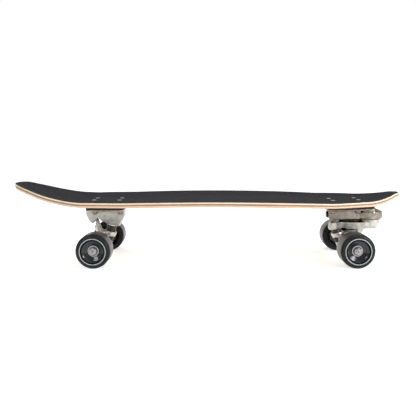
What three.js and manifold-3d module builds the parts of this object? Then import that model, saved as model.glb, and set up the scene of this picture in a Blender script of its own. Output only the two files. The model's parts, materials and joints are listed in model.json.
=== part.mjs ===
// Surf skateboard: a kicked, concave deck on a plain rear truck and a swinging front truck.
// Millimetres, +Z up, +X towards the nose, origin on the floor under the middle of the board.
import * as THREE from 'three';
import { mergeVertices } from 'three/addons/utils/BufferGeometryUtils.js';
import { ConvexGeometry } from 'three/addons/geometries/ConvexGeometry.js';
import Module from 'manifold-3d';

const wasm = await Module();
wasm.setup();

// Clearances
const SEAT_GAP = 0.3;
const RUNNING_GAP = 0.5;
const OVERRUN = 2;

// Deck and grip sheet
const DECK_LENGTH = 825.5;
const DECK_WIDTH = 250.8;
const DECK_THICKNESS = 9.6;
const DECK_RAIL_ROUND = 2.4;
const CONCAVE_DEPTH = 5;
const FLAT_HALF_WIDTH = 34;
const TAIL_RISE = 36;
const NOSE_RISE = 12.5;
const CROWN_RISE = 3.3;
const GRIP_THICKNESS = 1;

// Half outline of the deck: share of the length from the tail, share of the full width
const OUTLINE_SHARES = [
  [0, 0], [0.0065, 0.16], [0.0145, 0.29], [0.045, 0.465], [0.1, 0.662], [0.145, 0.76], [0.185, 0.86],
  [0.24, 0.92], [0.32, 0.957], [0.43, 0.995], [0.56, 1], [0.68, 0.99], [0.755, 0.948],
  [0.825, 0.868], [0.89, 0.718], [0.925, 0.57], [0.96, 0.355], [0.985, 0.175], [1, 0],
];
// Rise of the tail and of the nose: share of each end's length, share of its rise
const TAIL_CURVE_SHARES = [
  [0, 0], [0.15, 0.065], [0.28, 0.16], [0.47, 0.356], [0.79, 0.786], [0.92, 0.96], [1, 1],
];
const NOSE_CURVE_SHARES = [[0, 0], [0.17, 0.12], [0.37, 0.285], [0.57, 0.51], [0.83, 0.9], [1, 1]];
// Depth of the concave: share of the length from the tail, share of the full depth
const CONCAVE_SHARES = [
  [0, 0.1], [0.1, 0.5], [0.18, 0.9], [0.25, 1], [0.7, 1], [0.86, 0.82], [0.93, 0.5], [1, 0.1],
];

// Truck mounting
const BOLT_ROW_SPACING = 53.98;
const BOLT_SIDE_SPACING = 41.28;
const WHEELBASE = 454.1;
const TAIL_OVERHANG = 225.95;
const MOUNT_FLAT_HALF = 43;
const FRONT_TILT_DEGREES = 1.6;
const REAR_TRUCK_HEIGHT = 72.2;
const FRONT_TRUCK_HEIGHT = 73.6;
const REAR_RISER_THICKNESS = 9.2;
const FRONT_RISER_THICKNESS = 7.6;
const SCREW_RADIUS = 2.4;
const SCREW_HEAD_RADIUS = 4.7;
const SCREW_HEAD_HEIGHT = 2.6;
const SCREW_TAIL = 1.5;
const LOCK_NUT_FLATS = 9.5;
const LOCK_NUT_HEIGHT = 5.5;

// Wheels, bearings and axles
const WHEEL_RADIUS = 35;
const WHEEL_OUTER_HALF = 23;
const WHEEL_INNER_HALF = 29;
const WHEEL_LIP_RADIUS = 27;
const WHEEL_SHOULDER = 8;
const WHEEL_DISH_DEPTH = 8.5;
const CORE_RADIUS = 17;
const CORE_HALF_WIDTH = 13.3;
const CORE_WEB_RADIUS = 9.5;
const BEARING_RADIUS = 11;
const BEARING_WIDTH = 7;
const BEARING_SPACING = 10;
const BEARING_RING = 1.6;
const BEARING_SHIELD_SET = 0.5;
const AXLE_RADIUS = 4;
const AXLE_LENGTH = 240;
const AXLE_CHAMFER = 0.8;
const AXLE_SPACER_RADIUS = 5.2;
const AXLE_WASHER_RADIUS = 6;
const AXLE_WASHER_THICKNESS = 1;
const AXLE_NUT_FLATS = 12.7;
const AXLE_NUT_HEIGHT = 6;
const HANGER_WIDTH = 170;

// Kingpins and bushings, alike on both trucks
const KINGPIN_RADIUS = 4.5;
const KINGPIN_TILT_DEGREES = 12.5;
const KINGPIN_HEAD_FLATS = 14;
const KINGPIN_HEAD_HEIGHT = 5.5;
const KINGPIN_NUT_FLATS = 13;
const KINGPIN_NUT_HEIGHT = 7;
const KINGPIN_TAIL = 2;
const BUSHING_RADIUS = 11;
const BUSHING_WAIST = 0.9;
const LOWER_BUSHING_HEIGHT = 9;
const LOWER_BUSHING_RADIUS = 9.4;
const LOWER_BUSHING_END_RADIUS = 8;
const WASHER_THICKNESS = 1.8;
const UPPER_WASHER_RADIUS = 11.4;
const LOWER_WASHER_RADIUS = 8.4;

// Hangers
const RING_RADIUS = 13;
const RING_LIP = 5;
const RING_HEIGHT = 12;
const RING_FOOT_RADIUS = 10.6;
const RING_BORE_RADIUS = 7;
const RING_PIVOT_DEPTH = 5.5;
const HANGER_END_RADIUS = 8.6;
const HANGER_MID_RADIUS = 11;
const HANGER_FIN = 11;
const NOSE_RADIUS = 5;
const NECK_RADIUS = 4.2;
const HORN_RADIUS = 8;
const HORN_START = 7;
const WEB_HALF_WIDTH = 4;
const CUP_RADIUS = 7;
const CUP_BACK = 6.8;
const CUP_MOUTH = 4;
const TILT_RANGE_DEGREES = 14;

// Rear truck, measured from the middle of its bolt pattern on top of its baseplate
const REAR_AXLE_OUT = 14.3;
const REAR_NOSE_OUT = 29.4;
const REAR_NOSE_DROP = 21.6;
const REAR_RING_OUT = -3.8;
const REAR_RING_DROP = 48.5;
const REAR_HORN_SAG = 13.5;
const REAR_BUSHING_HEIGHT = 12.5;
const REAR_PAD_HALF_LENGTH = 40.2;
const REAR_PAD_SHIFT = 5.6;
const PAD_HALF_WIDTH = 27.5;
const PLATE_CORNER = 7;
const FLANGE_THICKNESS = 3.6;
const BODY_HALF_WIDTH = 14.6;
const BOSS_WALL = 2.6;
const REAR_BODY_FRONT = 35;
const REAR_BODY_BACK = 47;

// Swinging front truck, measured from the middle of its bolt pattern on top of its base
const FRONT_AXLE_OUT = 3.4;
const FRONT_NOSE_OUT = 31.4;
const FRONT_NOSE_DROP = 46.8;
const FRONT_RING_OUT = -14.6;
const FRONT_RING_DROP = 52;
const FRONT_HORN_SAG = 5;
const FRONT_BUSHING_HEIGHT = 10;
const FRONT_BUSHING_RECESS = 4;
const FRONT_PAD_BACK = 38.7;
const FRONT_PAD_FRONT = 61.6;
const BASE_BACK = 34.4;
const BASE_DEPTH = 23.5;
const SWING_PIVOT_OUT = 56;
const SWING_HEAD_RADIUS = 27.5;
const SWING_HEAD_SLOPE = 8.4;
const SWING_HUB_RADIUS = 13;
const SWING_HUB_WAIST_RADIUS = 10;
const SWING_BEARING_RADIUS = 17;
const SWING_BEARING_HEIGHT = 5;
const SWING_ROOF = 3;
const SWING_BOLT_RADIUS = 5;
const SWING_BOLT_HEAD_RADIUS = 9;
const SWING_BOLT_HEAD_HEIGHT = 3.2;
const SWING_NUT_FLATS = 15;
const SWING_NUT_HEIGHT = 5;
const SWING_FOOT_BEARING_RADIUS = 9.5;
const ARM_BODY_DROP = 28;
const ARM_HEAD_BOTTOM = 44.8;
const ARM_KINGPIN_RADIUS = 14.6;
const ARM_KINGPIN_FLOOR = 4;
const ARM_HEAD_RADIUS = 24.4;
const ARM_HEAD_WAIST_RADIUS = 20.9;
const ARM_FOOT_RADIUS = 15.9;
const ARM_DIP = 2;
const ARM_BOSS_RADIUS = 9.6;
const TUNNEL_RADIUS = 7.5;
const TUNNEL_DROP = 12.5;
const PLUNGER_TIP_RADIUS = 3.5;
const PLUNGER_LENGTH = 10;
const ADJUSTER_FLATS = 12;
const ADJUSTER_HEAD = 3;
const ADJUSTER_BODY = 15;
const SPRING_WIRE = 2;
const SPRING_TURNS = 7;

// Facets
const WHEEL_FACETS = 30;
const ROUND_FACETS = 20;
const SMALL_FACETS = 12;
const BOLT_FACETS = 8;
const DECK_STATIONS = 38;
const DECK_LANES = 4;
const SPRING_STEPS = 8;
const SPRING_SIDES = 5;
const CORNER_FACETS = 3;
const BAR_FACETS = 8;
const PROFILE_STEPS = 3;
const HORN_STEPS = 4;

// Places that follow from the sizes above
const AXLE_HEIGHT = WHEEL_RADIUS * Math.cos(Math.PI / WHEEL_FACETS);
const REAR_MOUNT_X = TAIL_OVERHANG - DECK_LENGTH / 2 - BOLT_ROW_SPACING / 2;
const FRONT_MOUNT_X = REAR_MOUNT_X + BOLT_ROW_SPACING + WHEELBASE;
const REAR_MOUNT_Z = AXLE_HEIGHT + REAR_TRUCK_HEIGHT;
const FRONT_MOUNT_Z = AXLE_HEIGHT + FRONT_TRUCK_HEIGHT;
const FRONT_TILT = THREE.MathUtils.degToRad(FRONT_TILT_DEGREES);
const KINGPIN_TILT = THREE.MathUtils.degToRad(KINGPIN_TILT_DEGREES);
const TILT_RANGE = THREE.MathUtils.degToRad(TILT_RANGE_DEGREES);
const REAR_DECK_TOP = REAR_MOUNT_Z + REAR_RISER_THICKNESS + 2 * SEAT_GAP + DECK_THICKNESS;
const FRONT_DECK_TOP = FRONT_MOUNT_Z + FRONT_RISER_THICKNESS + 2 * SEAT_GAP + DECK_THICKNESS;
const BEARING_BORE_RADIUS = AXLE_RADIUS + SEAT_GAP;
const HANGER_END_GAP = AXLE_WASHER_THICKNESS + 2 * SEAT_GAP;
const WHEEL_CENTRE_Y = HANGER_WIDTH / 2 + HANGER_END_GAP + BEARING_WIDTH + BEARING_SPACING / 2;

const material = (color, roughness, metalness) =>
  new THREE.MeshStandardMaterial({ color, roughness, metalness });
const MAPLE = material(0xd9b896, 0.5, 0);
const GRIT = material(0x1d1d1f, 0.95, 0);
const RISER_RUBBER = material(0x101012, 0.8, 0);
const CAST_ALLOY = material(0xc4c2bb, 0.42, 0.85);
const STEEL = material(0xb9bcbf, 0.3, 1);
const BLACK_STEEL = material(0x1b1b1d, 0.4, 0.7);
const URETHANE = material(0x0d0e10, 0.28, 0);
const BUSHING_RUBBER = material(0x17171a, 0.55, 0);
const CORE_PLASTIC = material(0x151618, 0.45, 0);
const CUP_PLASTIC = material(0x1f1f22, 0.6, 0);
const BRONZE = material(0x9a6f3c, 0.4, 0.9);

const board = new THREE.Group();

// A closed geometry with shared vertices, no empty triangles and its faces pointing out
function closed(geometry) {
  const bare = geometry.index ? geometry.toNonIndexed() : geometry.clone();
  for (const name of Object.keys(bare.attributes)) {
    if (name !== 'position') bare.deleteAttribute(name);
  }
  const merged = mergeVertices(bare);
  const places = merged.getAttribute('position');
  const corners = [0, 1, 2].map(() => new THREE.Vector3());
  const kept = [];
  let volume = 0;
  for (let i = 0; i < merged.index.count; i += 3) {
    const triangle = [0, 1, 2].map((corner) => merged.index.getX(i + corner));
    if (new Set(triangle).size < triangle.length) continue;
    kept.push(triangle);
    triangle.forEach((vertex, corner) => corners[corner].fromBufferAttribute(places, vertex));
    volume += corners[0].dot(corners[1].cross(corners[2]));
  }
  merged.setIndex(kept.flatMap((triangle) => (volume < 0 ? triangle.toReversed() : triangle)));
  return merged;
}

function toSolid(geometry) {
  const ready = closed(geometry);
  const mesh = new wasm.Mesh({
    numProp: 3,
    vertProperties: new Float32Array(ready.getAttribute('position').array),
    triVerts: new Uint32Array(ready.index.array),
  });
  return new wasm.Manifold(mesh);
}

function toGeometry(solid) {
  const mesh = solid.getMesh();
  const geometry = new THREE.BufferGeometry();
  geometry.setAttribute('position', new THREE.BufferAttribute(mesh.vertProperties, 3));
  geometry.setIndex(new THREE.BufferAttribute(mesh.triVerts, 1));
  return geometry;
}

const join = (...pieces) =>
  toGeometry(pieces.map(toSolid).reduce((whole, piece) => whole.add(piece)));
const cut = (piece, ...cutters) =>
  toGeometry(cutters.map(toSolid).reduce((rest, cutter) => rest.subtract(cutter), toSolid(piece)));
const common = (first, second) => toGeometry(toSolid(first).intersect(toSolid(second)));

function add(parent, name, geometry, finish) {
  const mesh = new THREE.Mesh(closed(geometry), finish);
  mesh.name = name;
  parent.add(mesh);
  return mesh;
}

// A body turned about Z from [radius, height] pairs; the profile ends on the axis or closes
function turned(profile, facets, startAngle = 0) {
  const points = profile.map(([radius, height]) => new THREE.Vector2(radius, height));
  return new THREE.LatheGeometry(points, facets, startAngle).rotateX(Math.PI / 2);
}

const disc = (radius, low, high, facets = ROUND_FACETS) =>
  turned([[0, low], [radius, low], [radius, high], [0, high]], facets);

const ring = (outer, inner, low, high, facets = ROUND_FACETS) =>
  turned([[inner, low], [outer, low], [outer, high], [inner, high], [inner, low]], facets);

const hexCorner = (flats) => flats / 2 / Math.cos(Math.PI / 6);
const hexagon = (flats, low, high) => disc(hexCorner(flats), low, high, 6);

// A side profile of [out, height] points, as thick as the given width across Y
function sideways(profile, halfWidth) {
  const shape = new THREE.Shape(profile.map(([out, height]) => new THREE.Vector2(out, height)));
  const slab = new THREE.ExtrudeGeometry(shape, { depth: 2 * halfWidth, bevelEnabled: false });
  return slab.rotateX(Math.PI / 2).translate(0, halfWidth, 0);
}

function upright(shape, low, high, facets = SMALL_FACETS) {
  const options = { depth: high - low, bevelEnabled: false, curveSegments: facets };
  return new THREE.ExtrudeGeometry(shape, options).translate(0, 0, low);
}

// Turns a body built along Z to point along a direction from a base point
function aimed(geometry, base, direction) {
  const turn = new THREE.Quaternion().setFromUnitVectors(new THREE.Vector3(0, 0, 1), direction);
  return geometry.applyQuaternion(turn).translate(base.x, base.y, base.z);
}

// Joins rings of points, one after another, into one closed skin with flat ends
function loft(rings) {
  const count = rings[0].length;
  const middle = (points) =>
    points.reduce((sum, point) => sum.add(point), new THREE.Vector3()).divideScalar(count);
  const corners = [];
  for (let i = 0; i + 1 < rings.length; i += 1) {
    for (let j = 0; j < count; j += 1) {
      const next = (j + 1) % count;
      corners.push(rings[i][j], rings[i][next], rings[i + 1][j]);
      corners.push(rings[i][next], rings[i + 1][next], rings[i + 1][j]);
    }
  }
  for (let j = 0; j < count; j += 1) {
    const next = (j + 1) % count;
    corners.push(middle(rings[0]), rings[0][next], rings[0][j]);
    corners.push(middle(rings.at(-1)), rings.at(-1)[j], rings.at(-1)[next]);
  }
  return new THREE.BufferGeometry().setFromPoints(corners);
}

// A smooth curve that keeps between its points, through [place, value] pairs
function smoothAt(pairs, place) {
  const last = pairs.length - 1;
  const slopes = pairs.slice(1).map(([x, y], i) => (y - pairs[i][1]) / (x - pairs[i][0]));
  const tangents = pairs.map((_, i) => {
    if (i === 0) return slopes[0];
    if (i === last) return slopes[last - 1];
    const [before, after] = [slopes[i - 1], slopes[i]];
    return before * after > 0 ? (2 * before * after) / (before + after) : 0;
  });
  const i = Math.max(0, Math.min(last - 1, pairs.findLastIndex(([x]) => x <= place)));
  const span = pairs[i + 1][0] - pairs[i][0];
  const t = THREE.MathUtils.clamp((place - pairs[i][0]) / span, 0, 1);
  const rest = 1 - t;
  return (1 + 2 * t) * rest * rest * pairs[i][1] + t * rest * rest * span * tangents[i]
    + t * t * (3 - 2 * t) * pairs[i + 1][1] - t * t * rest * span * tangents[i + 1];
}

const lengthShare = (x) => x / DECK_LENGTH + 1 / 2;

// Half width of the deck: the squared widths are smoothed, so both tips come out round
function halfWidth(x) {
  const squares = OUTLINE_SHARES.map(([along, across]) => [along, across * across]);
  return (DECK_WIDTH / 2) * Math.sqrt(Math.max(0, smoothAt(squares, lengthShare(x))));
}

// Height of the middle of the deck's top: two flat mounts, a crown between, a kick at each end
function centreHeight(x) {
  const rearEnds = [REAR_MOUNT_X - MOUNT_FLAT_HALF, REAR_MOUNT_X + MOUNT_FLAT_HALF];
  const frontEnds = [FRONT_MOUNT_X - MOUNT_FLAT_HALF, FRONT_MOUNT_X + MOUNT_FLAT_HALF];
  const frontLine = (at) => FRONT_DECK_TOP + Math.tan(FRONT_TILT) * (at - FRONT_MOUNT_X);
  if (x < rearEnds[0]) {
    const out = (rearEnds[0] - x) / (rearEnds[0] + DECK_LENGTH / 2);
    return REAR_DECK_TOP + TAIL_RISE * smoothAt(TAIL_CURVE_SHARES, out);
  }
  if (x <= rearEnds[1]) return REAR_DECK_TOP;
  if (x < frontEnds[0]) {
    const t = (x - rearEnds[1]) / (frontEnds[0] - rearEnds[1]);
    const drop = THREE.MathUtils.lerp(REAR_DECK_TOP, frontLine(frontEnds[0]), t * t * (3 - 2 * t));
    return drop + CROWN_RISE * Math.sin(Math.PI * t);
  }
  const out = Math.max(0, x - frontEnds[1]) / (DECK_LENGTH / 2 - frontEnds[1]);
  return frontLine(x) + NOSE_RISE * smoothAt(NOSE_CURVE_SHARES, out);
}

// Height of the deck's top: flat in the middle and curving up to the rails
function deckTop(x, y) {
  const edge = halfWidth(x);
  const depth = CONCAVE_DEPTH * smoothAt(CONCAVE_SHARES, lengthShare(x));
  const flat = Math.min(FLAT_HALF_WIDTH, edge / 2);
  const out = edge > flat ? Math.max(0, Math.abs(y) - flat) / (edge - flat) : 0;
  return centreHeight(x) + depth * out * out;
}

// Places along the deck, closer together at its tips, with the lanes across each of them
const deckStations = Array.from({ length: DECK_STATIONS + 1 }, (_, i) => {
  const x = (-DECK_LENGTH / 2) * Math.cos((Math.PI * i) / DECK_STATIONS);
  const edge = halfWidth(x);
  const flatEdge = edge - Math.min(DECK_RAIL_ROUND, edge / 2);
  const lanes = Array.from({ length: 2 * DECK_LANES + 1 }, (_, j) => (j / DECK_LANES - 1) * flatEdge);
  const slope = Math.atan2(centreHeight(x + OVERRUN) - centreHeight(x - OVERRUN), 2 * OVERRUN);
  return { x, edge, lanes, stretch: 1 / Math.cos(slope) };
});

// Sheet that follows the deck's top between two heights over it, with its rails rounded or cut off
function deckSheet(stations, low, high, rounded) {
  return loft(stations.map(({ x, edge, lanes, stretch }) => {
    const at = (y, rise) => new THREE.Vector3(x, y, deckTop(x, y) + rise * stretch);
    const rails = rounded ? [1 / 4, 3 / 4].map((down) => THREE.MathUtils.lerp(high, low, down)) : [];
    return [
      ...lanes.map((y) => at(y, high)),
      ...rails.map((rise) => at(edge, rise)),
      ...lanes.toReversed().map((y) => at(y, low)),
      ...rails.toReversed().map((rise) => at(-edge, rise)),
    ];
  }));
}

// Frames of the two trucks: +X out towards the board's end, +Z up, origin on top of the plate
const rearFrame = new THREE.Matrix4().makeTranslation(REAR_MOUNT_X, 0, REAR_MOUNT_Z)
  .multiply(new THREE.Matrix4().makeRotationZ(Math.PI));
const frontFrame = new THREE.Matrix4().makeTranslation(FRONT_MOUNT_X, 0, FRONT_MOUNT_Z)
  .multiply(new THREE.Matrix4().makeRotationY(-FRONT_TILT));

function framedGroup(frame) {
  const group = new THREE.Group();
  frame.decompose(group.position, group.quaternion, group.scale);
  board.add(group);
  return group;
}

const boltPlaces = [-1, 1].flatMap((row) =>
  [-1, 1].map((side) => [(row * BOLT_ROW_SPACING) / 2, (side * BOLT_SIDE_SPACING) / 2]));

const rearStack = REAR_RISER_THICKNESS + 2 * SEAT_GAP;
const frontStack = FRONT_RISER_THICKNESS + 2 * SEAT_GAP;

// Clearance hole and countersink of one deck screw, in its truck's frame
function screwHole(out, side, stack) {
  const top = stack + DECK_THICKNESS + SEAT_GAP + GRIP_THICKNESS;
  const hole = SCREW_RADIUS + SEAT_GAP;
  const sink = SCREW_HEAD_RADIUS + SEAT_GAP;
  const profile = [
    [0, -BASE_DEPTH], [hole, -BASE_DEPTH], [hole, top - SCREW_HEAD_HEIGHT - SEAT_GAP],
    [sink, top - SEAT_GAP], [sink, top + OVERRUN], [0, top + OVERRUN],
  ];
  return turned(profile, BOLT_FACETS).translate(out, side, 0);
}

// One countersunk deck screw with its lock nut under the truck's flange
function screwWithNut(out, side, stack) {
  const top = stack + DECK_THICKNESS + SEAT_GAP + GRIP_THICKNESS;
  const nutTop = -FLANGE_THICKNESS - SEAT_GAP;
  const end = nutTop - LOCK_NUT_HEIGHT - SCREW_TAIL;
  const profile = [
    [0, end], [SCREW_RADIUS, end], [SCREW_RADIUS, top - SCREW_HEAD_HEIGHT],
    [SCREW_HEAD_RADIUS, top - SEAT_GAP], [SCREW_HEAD_RADIUS, top], [0, top],
  ];
  const nut = hexagon(LOCK_NUT_FLATS, nutTop - LOCK_NUT_HEIGHT, nutTop);
  return join(turned(profile, BOLT_FACETS), nut).translate(out, side, 0);
}

function buildDeck() {
  const holes = [[rearFrame, rearStack], [frontFrame, frontStack]].flatMap(([frame, stack]) =>
    boltPlaces.map(([out, side]) => screwHole(out, side, stack).applyMatrix4(frame)));
  add(board, 'deck', cut(deckSheet(deckStations, -DECK_THICKNESS, 0, true), ...holes), MAPLE);
  const grip = deckSheet(deckStations.slice(1, -1), SEAT_GAP, SEAT_GAP + GRIP_THICKNESS, false);
  add(board, 'grip_tape', cut(grip, ...holes), GRIT);
}

// Plan shape of a plate with round corners
function roundedPlate(back, front, halfWide, corner) {
  const shape = new THREE.Shape();
  shape.moveTo(-back + corner, -halfWide);
  shape.lineTo(front - corner, -halfWide);
  shape.absarc(front - corner, -halfWide + corner, corner, -Math.PI / 2, 0);
  shape.absarc(front - corner, halfWide - corner, corner, 0, Math.PI / 2);
  shape.absarc(-back + corner, halfWide - corner, corner, Math.PI / 2, Math.PI);
  shape.absarc(-back + corner, -halfWide + corner, corner, Math.PI, (3 * Math.PI) / 2);
  return shape;
}

const plateHoles = () =>
  boltPlaces.map(([out, side]) =>
    disc(SCREW_RADIUS + SEAT_GAP, -FLANGE_THICKNESS - OVERRUN, rearStack + OVERRUN, BOLT_FACETS)
      .translate(out, side, 0));

function addRiser(group, name, back, front, thickness) {
  const plan = roundedPlate(back, front, PAD_HALF_WIDTH, PLATE_CORNER);
  const pad = upright(plan, SEAT_GAP, SEAT_GAP + thickness, CORNER_FACETS);
  add(group, name, cut(pad, ...plateHoles()), RISER_RUBBER);
}

function addDeckScrews(group, name, stack) {
  boltPlaces.forEach(([out, side], i) => {
    add(group, `${name}_${i + 1}`, screwWithNut(out, side, stack), BLACK_STEEL);
  });
}

// The kingpin's line, from the middle of the ring's top upwards, and what sits along it
const kingpinUp = new THREE.Vector3(-Math.sin(KINGPIN_TILT), 0, Math.cos(KINGPIN_TILT));
const kingpinDown = kingpinUp.clone().negate();

function truckPlan(axleOut, height, ringOut, ringDrop, noseOut, noseDrop, hornSag, bushingHeight, tilt) {
  const ringTop = new THREE.Vector3(ringOut, 0, -ringDrop);
  const axle = new THREE.Vector3(axleOut, 0, -height * Math.cos(tilt) - axleOut * Math.tan(tilt));
  return {
    ringTop,
    axle,
    nose: new THREE.Vector3(noseOut, 0, -noseDrop),
    pivot: ringTop.clone().addScaledVector(kingpinDown, RING_PIVOT_DEPTH),
    hornSag,
    bushingHeight,
    seatRise: bushingHeight + WASHER_THICKNESS + 3 * SEAT_GAP,
  };
}

const rearPlan = truckPlan(
  REAR_AXLE_OUT, REAR_TRUCK_HEIGHT, REAR_RING_OUT, REAR_RING_DROP,
  REAR_NOSE_OUT, REAR_NOSE_DROP, REAR_HORN_SAG, REAR_BUSHING_HEIGHT, 0,
);
const frontPlan = truckPlan(
  FRONT_AXLE_OUT, FRONT_TRUCK_HEIGHT, FRONT_RING_OUT, FRONT_RING_DROP,
  FRONT_NOSE_OUT, FRONT_NOSE_DROP, FRONT_HORN_SAG, FRONT_BUSHING_HEIGHT, FRONT_TILT,
);
const tiltAxis = (plan) => plan.nose.clone().sub(plan.pivot).normalize();
const cupOpening = (plan) => tiltAxis(plan).negate();

// Depths below the ring's top of what hangs on the kingpin
const LOWER_BUSHING_TOP = RING_HEIGHT + SEAT_GAP;
const LOWER_WASHER_TOP = LOWER_BUSHING_TOP + LOWER_BUSHING_HEIGHT + SEAT_GAP;
const KINGPIN_NUT_TOP = LOWER_WASHER_TOP + WASHER_THICKNESS + SEAT_GAP;
const KINGPIN_END = KINGPIN_NUT_TOP + KINGPIN_NUT_HEIGHT + KINGPIN_TAIL;

function addKingpinParts(group, name, plan, headRise) {
  const bore = KINGPIN_RADIUS + SEAT_GAP;
  const onKingpin = (geometry) => aimed(geometry, plan.ringTop, kingpinUp);
  const head = hexagon(KINGPIN_HEAD_FLATS, headRise, headRise + KINGPIN_HEAD_HEIGHT);
  const pin = join(head, disc(KINGPIN_RADIUS, -KINGPIN_END, headRise + SEAT_GAP, SMALL_FACETS));
  add(group, `${name}_kingpin`, onKingpin(pin), STEEL);

  const nut = cut(
    hexagon(KINGPIN_NUT_FLATS, -KINGPIN_NUT_TOP - KINGPIN_NUT_HEIGHT, -KINGPIN_NUT_TOP),
    disc(bore, -KINGPIN_END, 0, SMALL_FACETS),
  );
  add(group, `${name}_kingpin_nut`, onKingpin(nut), STEEL);

  const low = SEAT_GAP;
  const high = SEAT_GAP + plan.bushingHeight;
  const waist = BUSHING_RADIUS - BUSHING_WAIST;
  const upper = turned([
    [bore, low], [BUSHING_RADIUS, low], [waist, (low + high) / 2], [BUSHING_RADIUS, high],
    [bore, high], [bore, low],
  ], SMALL_FACETS);
  add(group, `${name}_upper_bushing`, onKingpin(upper), BUSHING_RUBBER);

  const lower = turned([
    [bore, -LOWER_BUSHING_TOP], [LOWER_BUSHING_RADIUS, -LOWER_BUSHING_TOP],
    [LOWER_BUSHING_END_RADIUS, -LOWER_BUSHING_TOP - LOWER_BUSHING_HEIGHT],
    [bore, -LOWER_BUSHING_TOP - LOWER_BUSHING_HEIGHT], [bore, -LOWER_BUSHING_TOP],
  ], SMALL_FACETS);
  add(group, `${name}_lower_bushing`, onKingpin(lower), BUSHING_RUBBER);

  const upperWasher = ring(
    UPPER_WASHER_RADIUS, bore, high + SEAT_GAP, high + SEAT_GAP + WASHER_THICKNESS, SMALL_FACETS,
  );
  add(group, `${name}_upper_washer`, onKingpin(upperWasher), STEEL);
  const lowerWasher = ring(
    LOWER_WASHER_RADIUS, bore, -LOWER_WASHER_TOP - WASHER_THICKNESS, -LOWER_WASHER_TOP, SMALL_FACETS,
  );
  add(group, `${name}_lower_washer`, onKingpin(lowerWasher), STEEL);
}

// Room that the kingpin's lower parts need inside the hanger while it tilts both ways
function kingpinRoom(plan) {
  const corners = [];
  const radii = [
    [LOWER_BUSHING_RADIUS, LOWER_BUSHING_TOP],
    [LOWER_WASHER_RADIUS, LOWER_WASHER_TOP + WASHER_THICKNESS],
    [hexCorner(KINGPIN_NUT_FLATS), KINGPIN_NUT_TOP],
    [hexCorner(KINGPIN_NUT_FLATS), KINGPIN_END + OVERRUN],
  ];
  const axis = tiltAxis(plan);
  for (const side of [-1, 0, 1]) {
    const turn = new THREE.Quaternion().setFromAxisAngle(axis, side * TILT_RANGE);
    for (const [radius, depth] of radii) {
      const reach = (radius + RUNNING_GAP) / Math.cos(Math.PI / BOLT_FACETS);
      const rim = aimed(disc(reach, -depth, 0, BOLT_FACETS), plan.ringTop, kingpinUp);
      const places = rim.getAttribute('position');
      for (let i = 0; i < places.count; i += 1) {
        const corner = new THREE.Vector3().fromBufferAttribute(places, i);
        const below = corner.clone().sub(plan.ringTop).dot(kingpinDown);
        if (below < depth - OVERRUN) continue;
        corners.push(corner.sub(plan.nose).applyQuaternion(turn).add(plan.nose));
      }
    }
  }
  return new ConvexGeometry(corners);
}

// Section of the hanger's body across the axle, with a fin towards the ring
function hangerSection(plan, y, radius, fin) {
  const toRing = plan.ringTop.clone().sub(plan.axle);
  const finAngle = Math.atan2(toRing.z, toRing.x);
  const points = [];
  for (let i = 0; i < SMALL_FACETS; i += 1) {
    const angle = (2 * Math.PI * i) / SMALL_FACETS;
    const reach = radius + fin * Math.max(0, Math.cos(angle - finAngle)) ** 2;
    points.push(new THREE.Vector3(
      plan.axle.x + reach * Math.cos(angle), y, plan.axle.z + reach * Math.sin(angle),
    ));
  }
  return points;
}

// Bend of the hanger's horn, which leaves the cup along the tilt axis and sags towards the axle
function hornBend(plan) {
  const opening = cupOpening(plan);
  const start = plan.nose.clone().addScaledVector(opening, HORN_START);
  const toAxle = plan.axle.clone().sub(start);
  const sag = toAxle.addScaledVector(opening, -toAxle.dot(opening)).setLength(2 * plan.hornSag);
  const middle = start.clone().lerp(plan.pivot, 1 / 2).add(sag);
  return new THREE.QuadraticBezierCurve3(start, middle, plan.pivot);
}

function hornGeometry(plan) {
  const bend = hornBend(plan);
  const across = new THREE.Vector3(0, 1, 0);
  const around = (centre, along, radius) => {
    const upward = along.clone().cross(across);
    return Array.from({ length: SMALL_FACETS }, (_, j) => {
      const angle = (2 * Math.PI * j) / SMALL_FACETS;
      return centre.clone()
        .addScaledVector(across, radius * Math.cos(angle))
        .addScaledVector(upward, radius * Math.sin(angle));
    });
  };
  const sections = Array.from({ length: HORN_STEPS }, (_, i) => {
    const share = (i + 1) / HORN_STEPS;
    return around(bend.getPoint(share), bend.getTangent(share), HORN_RADIUS);
  });
  const neck = [plan.nose, bend.v0].map((place) => around(place, cupOpening(plan), NECK_RADIUS));
  return loft([...neck, ...sections]);
}

// Thin web that carries the horn on the axle's body
function webGeometry(plan) {
  const bend = hornBend(plan);
  const places = [
    bend.getPoint(1 / HORN_STEPS),
    plan.axle.clone().setX(plan.axle.x + HANGER_END_RADIUS),
    plan.axle.clone().setX(plan.axle.x - HANGER_END_RADIUS),
    plan.pivot,
  ];
  return sideways(places.map((place) => [place.x, place.z]), WEB_HALF_WIDTH);
}

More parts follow.
